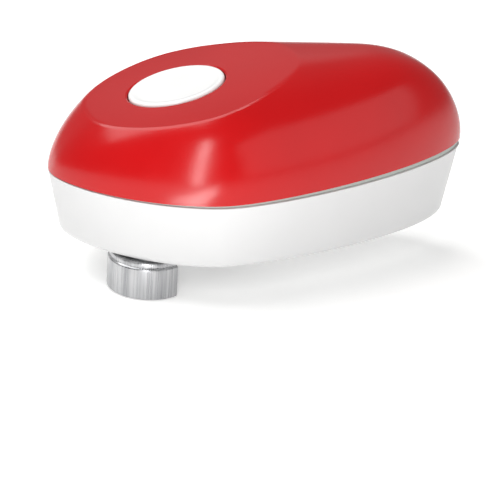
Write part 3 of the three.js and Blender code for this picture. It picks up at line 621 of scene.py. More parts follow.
@dataclass(frozen=True)
class BodyForm:
    """The egg: a plan outline, a seam, a dome over it and a slanted facet across the dome."""

    widest_x: float = -14.4
    half: float = 47.0
    nose: End = End(53.0, 1.64, 1.57)
    tail: End = End(102.0, 1.4, 1.52)
    shoulder: float = 0.1
    tip: float = 0.06
    seam_z: float = 25.8
    seam_slope: float = 0.041
    band_z: float = 1.15
    band_slope: float = 0.0125
    crown_z: float = 63.5
    crown_slope: float = -0.007
    nose_roll: Roll = Roll(0.418, 1.83, 1.565)
    tail_roll: Roll = Roll(0.271, 2.55, 1.567)
    across: float = 2.7
    up: float = 2.2
    facet_z: float = 58.61
    facet_slope: float = 0.2649
    facet_sag: float = 0.000377
    facet_top: float = -10.0
    facet_cross: float = 0.000819
    draft: float = 5.0
    edge: float = 3.5

    def half_width(self, x: np.ndarray, inset: float = 0.0) -> np.ndarray:
        """Half the width in plan.

        From the widest place, the width falls as (1 - b(u)) to a power, where u is the share of the
        way to the tip and b a power curve with a rounded start. Near the tip a second factor turns
        the last of the fall into a square root, which makes the tip round.

        Args:
            x: places along the body.
            inset: how far the outline is moved in.

        Returns:
            The half width at each place, which is nought past either tip.
        """
        x = np.asarray(x, dtype=float)
        is_nose = x < self.widest_x
        length = np.where(is_nose, self.nose.length, self.tail.length) - inset
        rise = np.where(is_nose, self.nose.rise, self.tail.rise)
        close = np.where(is_nose, self.nose.close, self.tail.close)
        u = np.clip(np.abs(x - self.widest_x) / length, 0.0, 1.0)
        start = self.shoulder ** rise
        bend = (u ** 2 + self.shoulder ** 2) ** (rise / 2.0) - start
        whole = (1.0 + self.shoulder ** 2) ** (rise / 2.0) - start
        taper = np.clip(1.0 - bend / whole, 0.0, 1.0) ** (1.0 / close)
        left = np.maximum(1.0 - u, 1e-9)
        rounding = ((left + self.tip) / (left * (1.0 + self.tip))) ** (1.0 / close - 0.5)
        return (self.half - inset) * taper * rounding * (u < 1.0 - 1e-8)

    def outline(self, turn: np.ndarray, inset: float = 0.0) -> np.ndarray:
        """Places on the plan outline: x is a cosine about the widest place, y the half width.

        Args:
            turn: angles round the body, with nought at the tail.
            inset: how far the outline is moved in.

        Returns:
            Places in plan, one for each angle.
        """
        c = np.cos(turn)
        length = np.where(c < 0.0, self.nose.length, self.tail.length) - inset
        x = self.widest_x + c * length
        y = np.sign(np.round(np.sin(turn), 9)) * self.half_width(x, inset)
        return np.stack([x, y], axis=-1)

    def seam(self, x: np.ndarray) -> np.ndarray:
        """Height of the red shell's lower edge, which rises evenly to the tail."""
        return self.seam_z + self.seam_slope * x

    def lip(self, x: np.ndarray) -> np.ndarray:
        """Height of the white tub's upper edge, which leaves a wedge for the band."""
        return self.seam(x) - self.band_z - self.band_slope * x

    def ridge(self, x: np.ndarray, inset: float = 0.0) -> np.ndarray:
        """Height along the middle: a level crown with a superellipse fall at each end.

        Args:
            x: places along the body.
            inset: thickness of wall above the surface.

        Returns:
            The ridge's height at each place.
        """
        start = self.widest_x - self.nose.length + inset
        finish = self.widest_x + self.tail.length - inset
        span = finish - start
        nose = np.clip(1.0 - (x - start) / (self.nose_roll.share * span), 0.0, 1.0)
        tail = np.clip(1.0 - (finish - x) / (self.tail_roll.share * span), 0.0, 1.0)
        fall = (1.0 - nose ** self.nose_roll.rise) ** (1.0 / self.nose_roll.close)
        fall = fall * (1.0 - tail ** self.tail_roll.rise) ** (1.0 / self.tail_roll.close)
        crown = self.crown_z + self.crown_slope * x - inset
        return self.seam(x) + (crown - self.seam(x)) * fall

    def dome(self, x: np.ndarray, y: np.ndarray, inset: float = 0.0) -> np.ndarray:
        """Height of the dome: each cross-section is a superellipse from seam to ridge.

        Args:
            x: places along the body.
            y: places across it.
            inset: thickness of wall above the surface.

        Returns:
            The dome's height at each place.
        """
        share = np.clip(np.abs(y) / np.maximum(self.half_width(x, inset), 1e-6), 0.0, 1.0)
        arch = (1.0 - share ** self.across) ** (1.0 / self.up)
        return self.seam(x) + (self.ridge(x, inset) - self.seam(x)) * arch

    def facet(self, x: np.ndarray, y: np.ndarray | float = 0.0) -> np.ndarray:
        """Height of the facet: a slope, slightly curved along the body and across it."""
        along = self.facet_z + self.facet_slope * x - self.facet_sag * (x - self.facet_top) ** 2
        return along - self.facet_cross * np.square(y)

    def tilt(self, x: float) -> float:
        """Angle of the facet's slope at a place."""
        return math.atan(self.facet_slope - 2.0 * self.facet_sag * (x - self.facet_top))


FORM = BodyForm()


@dataclass(frozen=True)
class ButtonPlace:
    """Where the button sits in the facet, and its oval."""

    x: float = -23.11
    along: float = 17.2
    across: float = 16.1
    gap: float = 0.45

    def place(self, along: np.ndarray, across: np.ndarray, out: np.ndarray) -> np.ndarray:
        """Turns distances along the slope, across it and out of it into places on the body.

        Args:
            along: distances up the slope from the button's middle.
            across: distances across the body.
            out: distances out of the slope.

        Returns:
            The places, with the coordinates last.
        """
        tilt = FORM.tilt(self.x)
        x = self.x + along * math.cos(tilt) - out * math.sin(tilt)
        z = float(FORM.facet(self.x)) + along * math.sin(tilt) + out * math.cos(tilt)
        return np.stack([x, across * np.ones_like(x), z], axis=-1)


BUTTON = ButtonPlace()


@dataclass(frozen=True)
class CutPlace:
    """Places of the cutting gear under the nose, measured from the guard's centre."""

    guard: tuple[float, float] = (-36.0, -19.5)
    heading_deg: float = 22.0
    feed_reach: float = 10.2
    magnet_reach: float = 28.2
    open_reach: float = -6.7
    shut_reach: float = -2.1

    def ahead(self, reach: float) -> tuple[float, float]:
        """A place on the line from the guard's centre to the middle of the can.

        Args:
            reach: distance from the guard's centre.

        Returns:
            The place in plan.
        """
        heading = math.radians(self.heading_deg)
        return (self.guard[0] + reach * math.cos(heading),
                self.guard[1] + reach * math.sin(heading))

    def feed(self) -> tuple[float, float]:
        """The feed wheel's axis."""
        return self.ahead(self.feed_reach)

    def magnet(self) -> tuple[float, float]:
        """The lid magnet's axis."""
        return self.ahead(self.magnet_reach)

    def cutter(self) -> tuple[float, float]:
        """The cutter wheel's axis with the arm open."""
        return self.ahead(self.open_reach)

    def swing_slot(self, radius: float) -> np.ndarray:
        """Outline of the slot that the cutter's axle swings in: two half circles and two sides.

        Args:
            radius: half the slot's width.

        Returns:
            Places in plan, in order round the slot.
        """
        heading = math.radians(self.heading_deg)
        half = np.linspace(-math.pi / 2, math.pi / 2, 16)
        ends = []
        for (cx, cy), turn in ((self.ahead(self.shut_reach), 0.0), (self.cutter(), math.pi)):
            angle = half + heading + turn
            ends.append(np.column_stack([cx + radius * np.cos(angle), cy + radius * np.sin(angle)]))
        return np.concatenate(ends)


CUT = CutPlace()


# ---- Sub-assemblies ----


@dataclass
class UpperShell:
    """Red shell: one wall that runs from the button's opening over facet and dome to the seam."""

    wall: float = 2.3
    columns: int = 480
    facet_rings: int = 14
    dome_rings: int = 64
    inner_rings: int = 16
    bevel: float = 0.42
    mouth_bevel: float = 0.55
    mouth_middle: float = 1.6
    mouth_lip: float = 1.2
    rim_round: float = 0.25
    rim_rise: float = 0.12
    inner_start: float = 1.5
    halvings: int = 40
    sharp_deg: float = 17.0

    def facet_edge(self, ray: np.ndarray, start: np.ndarray) -> np.ndarray:
        """Share of each ray at which the dome drops under the facet, found by halving.

        Args:
            ray: from the button's middle to the outline, in plan.
            start: a share of each ray that is surely on the facet.

        Returns:
            The share for each ray.
        """
        low, high = start.copy(), np.ones_like(start)
        for _ in range(self.halvings):
            middle = (low + high) / 2.0
            x, y = BUTTON.x + middle * ray[:, 0], middle * ray[:, 1]
            over = FORM.dome(x, y) > FORM.facet(x, y)
            low, high = np.where(over, middle, low), np.where(over, high, middle)
        return low

    def rings(self) -> np.ndarray:
        """Rings of the shell, each with one point on every ray from the button's middle.

        A point is centre + share * ray in plan. Its height is the facet's inside the facet's edge
        and the dome's outside it, and the last dome ring lies on the seam.

        Returns:
            Points in the order ring, ray, coordinate.
        """
        turn = once_round(self.columns)
        ray = FORM.outline(turn) - np.array([BUTTON.x, 0.0])
        length = np.hypot(ray[:, 0], ray[:, 1])
        tilt = FORM.tilt(BUTTON.x)
        along, across = BUTTON.along + BUTTON.gap, BUTTON.across + BUTTON.gap
        mouth = 1.0 / np.hypot(ray[:, 0] / (along * math.cos(tilt)), ray[:, 1] / across)
        edge = self.facet_edge(ray, mouth)
        wall_along = mouth * ray[:, 0] / math.cos(tilt)
        wall_across = mouth * ray[:, 1]

        def ring(share: np.ndarray, on_facet: bool) -> np.ndarray:
            """One ring on the facet or on the dome.

            Args:
                share: share of each ray.
                on_facet: whether the ring lies on the facet.

            Returns:
                The ring's points.
            """
            x, y = BUTTON.x + share * ray[:, 0], share * ray[:, 1]
            z = FORM.facet(x, y) if on_facet else FORM.dome(x, y)
            return np.stack([x, y, z], axis=1)

        rings = [BUTTON.place(wall_along, wall_across, np.full(self.columns, -out))
                 for out in (self.wall + self.mouth_lip, self.mouth_middle, self.mouth_bevel)]
        inner = mouth + self.mouth_bevel / length
        outer = edge - self.bevel / length
        for step in np.linspace(0.0, 1.0, self.facet_rings):
            rings.append(ring(inner + (outer - inner) * step, True))
        start = edge + self.bevel / length
        for step in np.linspace(0.0, 1.0, self.dome_rings):
            rings.append(ring(start + (1.0 - start) * math.sin(step * math.pi / 2.0), False))
        for inset, rise in ((self.rim_round, self.rim_rise), (self.wall, 0.0)):
            rim = FORM.outline(turn, inset)
            rings.append(ring_at(rim, FORM.seam(rim[:, 0]) - rise))
        inner_ray = FORM.outline(turn, self.wall) - np.array([BUTTON.x, 0.0])
        stop = mouth + self.inner_start / length
        for step in np.linspace(1.0, 0.0, self.inner_rings)[1:]:
            share = stop + (1.0 - stop) * math.sin(step * math.pi / 2.0)
            x, y = BUTTON.x + share * inner_ray[:, 0], share * inner_ray[:, 1]
            z = np.minimum(FORM.dome(x, y, self.wall), FORM.facet(x, y) - self.wall)
            rings.append(np.stack([x, y, z], axis=1))
        return np.array(rings)

    def build(self, finishes: Finishes) -> None:
        """Makes the shell and dresses it.

        Args:
            finishes: every finish, by slot.
        """
        surface = closed_surface(self.rings(), Closure.LOOP)
        shell = make_piece("upper_shell", [surface], self.sharp_deg)
        dress(shell, finishes, "housing", "red_shell", "upper_housing")


@dataclass
class LowerShell:
    """White tub: drafted wall, round lower edge and a flat floor with its openings."""

    wall: float = 2.3
    floor: float = 2.6
    columns: int = 400
    wall_rings: int = 18
    arc_rings: int = 10
    floor_rings: int = 6
    screw_places: tuple[tuple[float, float], ...] = (
        (-55.5, 0.0), (6.0, -30.0), (6.0, 30.0), (70.0, 0.0))
    screw_hole: float = 3.0
    feed_hole: float = 4.5
    magnet_hole: float = 7.2
    slot_half: float = 2.9
    door: tuple[float, float, float, float] = (4.95, 56.55, 15.35, 0.6)
    notch: tuple[float, float, float, float] = (54.0, 58.8, 5.2, 1.2)
    notch_depth: float = 1.3
    cut_below: float = 2.0
    cut_above: float = 1.0
    outer_rim_drop: float = 0.45
    inner_rim_drop: float = 0.3
    lip: tuple[tuple[float, float], ...] = ((0.06, 0.2), (0.22, 0.05), (0.5, 0.0), (2.1, 0.0))
    sharp_deg: float = 28.0

    def skin(self, inset: float, bottom: float, rim_drop: float) -> list[np.ndarray]:
        """Rings of one skin from its rim to its floor.

        The wall is a straight line from the seam's outline to a smaller one, and the edge below it
        a quarter circle.

        Args:
            inset: how far the skin lies inside the body's outline.
            bottom: height of the skin's floor.
            rim_drop: how far the skin stops below the lip.

        Returns:
            The rings, from rim to floor.
        """
        turn = once_round(self.columns)
        lean = FORM.draft * (1.0 - (bottom + FORM.edge) / FORM.seam_z)
        top, foot = FORM.outline(turn, inset), FORM.outline(turn, inset + lean)
        low = bottom + FORM.edge
        high = FORM.seam(top[:, 0])
        rim = FORM.lip(top[:, 0]) - rim_drop
        first = (high - rim) / (high - low)
        rings = []
        for step in np.linspace(0.0, 1.0, self.wall_rings):
            share = (first + (1.0 - first) * step)[:, None]
            plan = top * (1.0 - share) + foot * share
            rings.append(ring_at(plan, high * (1.0 - share[:, 0]) + low * share[:, 0]))
        for angle in np.linspace(0.0, math.pi / 2.0, self.arc_rings)[1:]:
            plan = FORM.outline(turn, inset + lean + FORM.edge * (1.0 - math.cos(angle)))
            rings.append(ring_at(plan, low - FORM.edge * math.sin(angle)))
        last = rings[-1]
        for step in np.linspace(1.0, 0.0, self.floor_rings + 1)[1:-1]:
            rings.append(last * [step, step, 1.0])
        return rings

    def rings(self) -> np.ndarray:
        """Rings over the outside, across the rim with its rounded lip, and down the inside.

        Returns:
            Points in the order ring, place round the ring, coordinate.
        """
        turn = once_round(self.columns)
        outside = self.skin(0.0, 0.0, self.outer_rim_drop)
        inside = self.skin(self.wall, self.floor, self.inner_rim_drop)
        rim = []
        for inset, drop in self.lip:
            plan = FORM.outline(turn, inset)
            rim.append(ring_at(plan, FORM.lip(plan[:, 0]) - drop))
        return np.array(outside[::-1] + rim + inside)

    def openings(self) -> list[Surface]:
        """Upright cutters for every opening in the floor but the finger notch.

        Returns:
            The points and faces of each cutter.
        """
        low, high = -self.cut_below, self.floor + self.cut_above
        shapes = [raised(rounded_rectangle(*self.door), [low, high])]
        holes = [(place, self.screw_hole) for place in self.screw_places]
        holes += [(CUT.feed(), self.feed_hole), (CUT.magnet(), self.magnet_hole)]
        for place, radius in holes:
            shapes.append(turned_rings([(radius, low), (radius, high)], place))
        shapes.append(raised(CUT.swing_slot(self.slot_half), [low, high]))
        return [closed_surface(shape, Closure.CAPS) for shape in shapes]

    def build(self, finishes: Finishes) -> None:
        """Makes the tub, cuts its openings and dresses it.

        Args:
            finishes: every finish, by slot.
        """
        tub = make_piece("lower_shell", [closed_surface(self.rings(), Closure.POLES)])
        carve(tub, make_piece("floor_cutters", self.openings()), self.sharp_deg)
        notch = raised(rounded_rectangle(*self.notch), [-self.cut_below, self.notch_depth])
        notch_cutter = make_piece("notch_cutter", [closed_surface(notch, Closure.CAPS)])
        carve(tub, notch_cutter, self.sharp_deg)
        dress(tub, finishes, "housing", "white_shell", "lower_housing")


@dataclass
class SeamBand:
    """Grey band: a lip that fills the wedge between the shells, with a tongue inside both."""

    columns: int = 400
    proud_inset: float = 0.75
    tongue_inset: float = 2.65
    tongue_wall: float = 1.3
    tongue_reach: float = 2.0

    def rings(self) -> np.ndarray:
        """Rings of the band's section, each a share of the way from lip to seam plus a shift.

        Returns:
            Points in the order ring, place round the ring, coordinate.
        """
        turn = once_round(self.columns)
        inner, reach = self.tongue_inset + self.tongue_wall, self.tongue_reach
        section = [
            (self.proud_inset + 0.15, 0.97, 0.0), (self.proud_inset, 0.85, 0.0),
            (self.proud_inset, 0.5, 0.0), (self.proud_inset, 0.15, 0.0),
            (self.proud_inset + 0.15, 0.03, 0.0), (self.tongue_inset, 0.03, 0.0),
            (self.tongue_inset, 0.0, -reach), (inner, 0.0, -reach), (inner, 1.0, reach),
            (self.tongue_inset, 1.0, reach), (self.tongue_inset, 0.97, 0.0),
        ]
        rings = []
        for inset, share, shift in section:
            plan = FORM.outline(turn, inset)
            low, high = FORM.lip(plan[:, 0]), FORM.seam(plan[:, 0])
            rings.append(ring_at(plan, low + (high - low) * share + shift))
        return np.array(rings)

    def build(self, finishes: Finishes) -> None:
        """Makes the band and dresses it.

        Args:
            finishes: every finish, by slot.
        """
        band = make_piece("seam_band", [closed_surface(self.rings(), Closure.LOOP)])
        dress(band, finishes, "housing", "grey_trim", "seam_trim_band")


@dataclass
class StartButton:
    """White oval button: a shallow dish with a soft raised rim, and a stem under it."""

    columns: int = 160
    dish_rings: int = 26
    thickness: float = 3.0
    stem_radius: float = 2.4
    stem_end: float = -11.4
    dish_height: float = 0.02
    rim_place: float = 0.93
    rim_width: float = 0.07
    rim_height: float = 0.42
    round_width: float = 0.045
    round_drop: float = 0.9
    sharp_deg: float = 40.0

    def ring(self, along: float, across: float, out: float) -> np.ndarray:
        """An oval about the button's axis, so far out of the facet."""
        turn = once_round(self.columns)
        return BUTTON.place(along * np.cos(turn), across * np.sin(turn), np.full(self.columns, out))

    def rings(self) -> np.ndarray:
        """Rings from the dish's middle over the rim, down the side and down the stem.

        The top's height is a low floor, plus a bell curve whose peak is the rim, minus a quarter
        round that turns it into the side.

        Returns:
            Points in the order ring, place round the ring, coordinate.
        """
        share = np.sin(np.linspace(0.03, 1.0, self.dish_rings) * math.pi / 2.0)
        fall = np.clip((share - 1.0 + self.round_width) / self.round_width, 0.0, 1.0)
        bell = np.exp(-((share - self.rim_place) / self.rim_width) ** 2)
        height = self.dish_height + self.rim_height * bell
        height = height - self.round_drop * (1.0 - np.sqrt(np.clip(1.0 - fall ** 2, 0.0, 1.0)))
        low = -self.thickness
        ovals = [*zip(share, height), (1.0, low + 0.2), (0.985, low), (0.5, low)]
        rings = [self.ring(BUTTON.along * part, BUTTON.across * part, out) for part, out in ovals]
        stem = self.stem_radius
        for radius, out in ((stem, low), (stem, self.stem_end), (stem * 0.5, self.stem_end)):
            rings.append(self.ring(radius, radius, out))
        return np.array(rings)

    def build(self, finishes: Finishes) -> None:
        """Makes the button and dresses it.

        Args:
            finishes: every finish, by slot.
        """
        surface = closed_surface(self.rings(), Closure.POLES)
        cap = make_piece("button_cap", [surface], self.sharp_deg)
        dress(cap, finishes, "button", "white_button", "start_button")


@dataclass
class CutterGuard:
    """Stainless guard: a drawn cup with a stepped neck, cut away towards the can, on two ears."""

    outer: float = 14.2
    inner: float = 13.0
    neck: float = 13.45
    bottom: float = -13.4
    step: float = -2.3
    flange_bore: float = 10.8
    flange_top: float = -0.3
    flange_low: float = -1.5
    first_deg: float = 104.0
    last_deg: float = 300.0
    steps: int = 150
    ear_reach: float = 9.6
    ear_radius: float = 3.2
    ear_hole: float = 1.3
    ear_sink: float = 0.02
    ear_degrees: tuple[float, float] = (125.0, 277.0)
    sharp_deg: float = 34.0

    def section(self) -> list[tuple[float, float]]:
        """The cup's wall in section, with a small round at each bend.

        Returns:
            Pairs of radius and height, from the inside of the rim round to the inside again.
        """
        wall, bore, neck, foot, step = self.outer, self.inner, self.neck, self.bottom, self.step
        thick, top, low = wall - bore, self.flange_top, self.flange_low
        return [
            (bore + 0.04, foot + 0.2), (bore + 0.18, foot + 0.04), (bore + 0.4, foot),
            (wall - 0.4, foot), (wall - 0.18, foot + 0.04), (wall - 0.04, foot + 0.2),
            (wall, foot + 0.45), (wall, step - 0.5), (wall - 0.05, step - 0.2),
            (wall - 0.2, step), (neck + 0.15, step + 0.28), (neck, step + 0.5),
            (neck, top - 0.45), (neck - 0.12, top - 0.15), (neck - 0.45, top),
            (self.flange_bore, top), (self.flange_bore, low),
            (neck - thick - 0.4, low), (neck - thick, low - 0.25), (neck - thick, step + 0.15),
            (bore - 0.2, step - 0.3), (bore, step - 0.8),
        ]

    def cup(self) -> Surface:
        """The section carried round the guard's axis between its two cut edges.

        Returns:
            Its points and faces.
        """
        turn = np.radians(np.linspace(self.first_deg, self.last_deg, self.steps))[:, None]
        radius = np.array([r for r, _ in self.section()])[None, :]
        height = np.array([z for _, z in self.section()])[None, :]
        x = CUT.guard[0] + radius * np.cos(turn)
        y = CUT.guard[1] + radius * np.sin(turn)
        rings = np.stack([x, y, np.broadcast_to(height, x.shape)], axis=2)
        return closed_surface(rings, Closure.CAPS)

    def ear(self, degrees: float) -> Surface:
        """A round ear with a screw hole, sunk a hair into the flange.

        Args:
            degrees: the ear's direction from the guard's axis.

        Returns:
            Its points and faces.
        """
        angle = math.radians(degrees)
        place = (CUT.guard[0] + self.ear_reach * math.cos(angle),
                 CUT.guard[1] + self.ear_reach * math.sin(angle))
        hole, rim = self.ear_hole, self.ear_radius
        top, low = self.flange_top - self.ear_sink, self.flange_low + self.ear_sink
        profile = [(hole, top), (rim - 0.2, top), (rim, top - 0.18),
                   (rim, low + 0.16), (rim - 0.2, low), (hole, low)]
        return closed_surface(turned_rings(profile, place), Closure.LOOP)

    def build(self, finishes: Finishes) -> None:
        """Makes the guard and dresses it.

        Args:
            finishes: every finish, by slot.
        """
        ears = [self.ear(degrees) for degrees in self.ear_degrees]
        guard = make_piece("guard_cup", [self.cup(), *ears], self.sharp_deg)
        dress(guard, finishes, "housing", "guard_steel", "cutter_guard")


@dataclass
class CuttingWheels:
    """Serrated feed wheel and bevelled cutter wheel."""

    feed_radius: float = 5.0
    feed_teeth: int = 22
    tooth_depth: float = 0.6
    feed_bore: float = 2.7
    feed_top: float = -1.0
    feed_bottom: float = -4.6
    feed_chamfer: float = 0.35
    blade_radius: float = 6.0
    blade_bore: float = 2.3
    blade_top: float = -3.3
    blade_bottom: float = -4.9
    blade_hub: float = 4.3
    blade_slope: float = 4.5
    blade_edge: float = 0.05
    blade_columns: int = 96
    blade_sharp_deg: float = 12.0

    def feed_rings(self) -> np.ndarray:
        """Rings of the feed wheel: its rim's radius is a triangle wave of one tooth a pitch.

        Returns:
            Points in the order ring, place round the ring, coordinate.
        """
        turn = once_round(self.feed_teeth * 8)
        phase = (turn * self.feed_teeth / FULL_TURN) % 1.0
        wave = np.abs(2.0 * phase - 1.0)
        x, y = CUT.feed()
        rings = []
        top, bottom, chamfer = self.feed_top, self.feed_bottom, self.feed_chamfer
        rim = self.feed_radius - self.tooth_depth * (1.0 - wave)
        bore = np.full_like(turn, self.feed_bore)
        section = [(bore, top), (rim - chamfer, top), (rim, top - chamfer),
                   (rim, bottom + chamfer), (rim - chamfer, bottom), (bore, bottom)]
        for radius, z in section:
            plan = np.column_stack([x + radius * np.cos(turn), y + radius * np.sin(turn)])
            rings.append(ring_at(plan, z))
        return np.array(rings)

    def blade_profile(self) -> list[tuple[float, float]]:
        """Section of the cutter wheel: a flat hub and a bevel on both sides of a fine edge.

        Returns:
            Pairs of radius and height.
        """
        top, bottom, bore = self.blade_top, self.blade_bottom, self.blade_bore
        hub, slope, fine = self.blade_hub, self.blade_slope, self.blade_edge
        edge = (top + bottom) / 2.0
        return [(bore, top), (hub, top), (slope, top - fine),
                (self.blade_radius, edge + fine), (self.blade_radius, edge - fine),
                (slope, bottom + fine), (hub, bottom), (bore, bottom)]

    def build(self, finishes: Finishes) -> None:
        """Makes both wheels and dresses them.

        Args:
            finishes: every finish, by slot.
        """
        feed = make_piece("serrated_wheel", [closed_surface(self.feed_rings(), Closure.LOOP)])
        dress(feed, finishes, "drive", "bright_steel", "feed_wheel")
        rings = turned_rings(self.blade_profile(), CUT.cutter(), self.blade_columns)
        surface = closed_surface(rings, Closure.LOOP)
        blade = make_piece("cutter_wheel", [surface], self.blade_sharp_deg)
        dress(blade, finishes, "cutter", "bright_steel", "cutter_blade")


@dataclass
class BatteryCells:
    """Four AA cells, head to tail in two layers."""

    radius: float = 7.1
    length: float = 50.5
    plate: float = 4.8
    crimp: float = 6.2
    head: float = 2.7
    columns: int = 48
    sharp_deg: float = 25.0
    pitch: float = 15.0
    low: float = 10.6
    front: float = 6.3
    back: float = 8.7
    layout: tuple[tuple[int, int, bool], ...] = (
        (-1, 0, True), (1, 0, False), (1, 1, True), (-1, 1, False))

    def rings(self, side: int, layer: int, head_back: bool) -> np.ndarray:
        """Rings of a cell along the body, from its flat end to its head.

        Args:
            side: -1 or 1, the side of the body.
            layer: 0 or 1, the layer from below.
            head_back: whether the head points to the tail.

        Returns:
            Points in the order ring, place round the ring, coordinate.
        """
        end, radius, crimp, head = self.length, self.radius, self.crimp, self.head
        profile = [(0.3, self.plate), (0.5, self.plate), (0.55, crimp), (0.8, radius - 0.25),
                   (1.2, radius), (end - 2.1, radius), (end - 1.6, radius - 0.2),
                   (end - 1.4, crimp), (end - 1.4, head + 0.2), (end - 1.2, head),
                   (end - 0.2, head), (end, head - 0.3)]
        turn = once_round(self.columns)
        along = np.array([a for a, _ in profile])[:, None]
        radius = np.array([r for _, r in profile])[:, None]
        along = self.back + along if head_back else self.front + end - along
        y = side * (self.pitch / 2.0 + 0.1) + radius * np.cos(turn)
        z = self.low + layer * self.pitch + radius * np.sin(turn)
        return np.stack([np.broadcast_to(along, y.shape), y, z], axis=2)

    def build(self, finishes: Finishes) -> None:
        """Makes the cells and dresses them.

        Args:
            finishes: every finish, by slot.
        """
        for number, (side, layer, head_back) in enumerate(self.layout, start=1):
            shell = closed_surface(self.rings(side, layer, head_back), Closure.POLES)
            cell = make_piece(f"aa_cell_{number}", [shell], self.sharp_deg)
            dress(cell, finishes, "housing", "cell_sleeve", f"battery_cell_{number}")


@dataclass
class BatteryDoor:
    """Hinged door in the floor: a bevelled panel, a hinge barrel, inner ribs and grip grooves."""

    front: float = 6.45
    back: float = 56.2
    half: float = 15.0
    thickness: float = 2.3
    barrel_radius: float = 1.15
    pin_radius: float = 0.6
    pin_reach: float = 1.9
    barrel_columns: int = 40
    corner: float = 0.6
    groove_places: tuple[float, ...] = (43.0, 45.5, 48.0, 50.5)
    groove_half: float = 0.5
    groove_side: float = 7.0
    groove_depth: float = 0.5
    notch_front: float = 1.6
    notch_side: float = 5.0
    notch_depth: float = 1.3
    cut_below: float = 1.0
    rib_places: tuple[float, ...] = (-9.0, 0.0, 9.0)
    rib_front: float = 12.3
    rib_back: float = 50.2
    rib_half: float = 0.5
    rib_rise: float = 0.7
    rib_root: float = 0.3
    sharp_deg: float = 28.0

    def panel(self) -> Surface:
        """The panel, whose edges are bevelled above and below.

        Returns:
            Its points and faces.
        """
        rings = []
        for inset, z in ((0.35, 0.0), (0.1, 0.08), (0.0, 0.35), (0.0, self.thickness - 0.2),
                         (0.2, self.thickness)):
            outline = rounded_rectangle(self.front, self.back - inset, self.half - inset,
                                        self.corner)
            rings.append(ring_at(outline, z))
        return closed_surface(np.array(rings), Closure.CAPS)

    def barrel(self) -> Surface:
        """The hinge barrel with a pin at each end, turned about the hinge's axis.

        Returns:
            Its points and faces.
        """
        tip = self.half + self.pin_reach
        profile = [(-tip, self.pin_radius - 0.15), (0.15 - tip, self.pin_radius),
                   (-self.half, self.pin_radius), (-self.half, self.barrel_radius),
                   (self.half, self.barrel_radius), (self.half, self.pin_radius),
                   (tip - 0.15, self.pin_radius), (tip, self.pin_radius - 0.15)]
        turn = once_round(self.barrel_columns)
        radius = np.array([r for _, r in profile])[:, None]
        x = self.front + radius * np.cos(turn)
        z = self.barrel_radius + radius * np.sin(turn)
        y = np.broadcast_to(np.array([place for place, _ in profile])[:, None], x.shape)
        return closed_surface(np.stack([x, y, z], axis=2), Closure.CAPS)

    def rib(self, y: float) -> Surface:
        """A low rib along the inner face.

        Args:
            y: its place across the door.

        Returns:
            Its points and faces.
        """
        outline = rounded_rectangle(self.rib_front, self.rib_back, self.rib_half, 0.4) + [0.0, y]
        heights = [self.thickness - self.rib_root, self.thickness + self.rib_rise]
        rings = raised(outline, heights)
        return closed_surface(rings, Closure.CAPS)

    def build(self, finishes: Finishes) -> None:
        """Makes the door, cuts its grooves and finger notch, and dresses it.

        Args:
            finishes: every finish, by slot.
        """
        ribs = [self.rib(y) for y in self.rib_places]
        door = make_piece("hinged_door", [self.panel(), self.barrel(), *ribs])
        cuts = []
        for x in self.groove_places:
            groove = rounded_rectangle(x - self.groove_half, x + self.groove_half,
                                       self.groove_side, 0.45)
            cuts.append(raised(groove, [-self.cut_below, self.groove_depth]))
        notch = rounded_rectangle(self.back - self.notch_front, self.back + 2.0,
                                  self.notch_side, 0.8)
        cuts.append(raised(notch, [-self.cut_below, self.notch_depth]))
        cutters = [closed_surface(shape, Closure.CAPS) for shape in cuts]
        carve(door, make_piece("door_cutters", cutters), self.sharp_deg)
        dress(door, finishes, "door", "white_shell", "battery_door")


@dataclass
class LidMagnet:
    """Round magnet that holds the cut lid, in a flanged black seat."""

    bore: float = 5.5
    seat: float = 6.85
    flange: float = 8.6
    magnet: float = 5.15
    foot: float = -2.6
    face: float = -2.4
    top: float = 0.3
    flange_low: float = 2.95
    flange_top: float = 4.1
    columns: int = 96

    def build(self, finishes: Finishes) -> None:
        """Makes the seat and the magnet and dresses them.

        Args:
            finishes: every finish, by slot.
        """
        bore, foot, seat, flange = self.bore, self.foot, self.seat, self.flange
        low, high = self.flange_low, self.flange_top
        profile = [(bore, self.top), (bore, foot + 0.25), (bore + 0.25, foot),
                   (seat - 0.3, foot), (seat, foot + 0.3), (seat, low), (flange - 0.15, low),
                   (flange, low + 0.15), (flange, high - 0.15), (flange - 0.15, high)]
        rings = turned_rings(profile, CUT.magnet(), self.columns)
        cup = make_piece("magnet_seat", [closed_surface(rings, Closure.POLES)])
        dress(cup, finishes, "housing", "black_plastic", "magnet_holder")
        disc = [(self.magnet - 0.1, 0.0), (self.magnet, -0.1), (self.magnet, self.face + 0.3),
                (self.magnet - 0.1, self.face + 0.1), (self.magnet - 0.3, self.face)]
        rings = turned_rings(disc, CUT.magnet(), self.columns)
        magnet = make_piece("lid_magnet_disc", [closed_surface(rings, Closure.POLES)])
        dress(magnet, finishes, "housing", "magnet", "lid_magnet")


# ---- Studio ----


@dataclass(frozen=True)
class SoftBox:
    """A rectangular soft light: where it stands, its size, its power in watts and its aim."""

    name: str
    place: tuple[float, float, float]
    size: tuple[float, float]
    power: float
    towards: tuple[float, float, float] = (10.0, 0.0, 25.0)

    def build(self) -> None:
        """Makes the light."""
        data = bpy.data.lights.new(self.name, "AREA")
        data.shape = "RECTANGLE"
        data.size, data.size_y = self.size[0] * MM, self.size[1] * MM
        data.energy = self.power
        light = bpy.data.objects.new(self.name, data)
        light.location = Vector(self.place) * MM
        aim = (Vector(self.towards) - Vector(self.place)).normalized()
        light.rotation_euler = aim.to_track_quat("-Z", "Y").to_euler()
        bpy.context.scene.collection.objects.link(light)


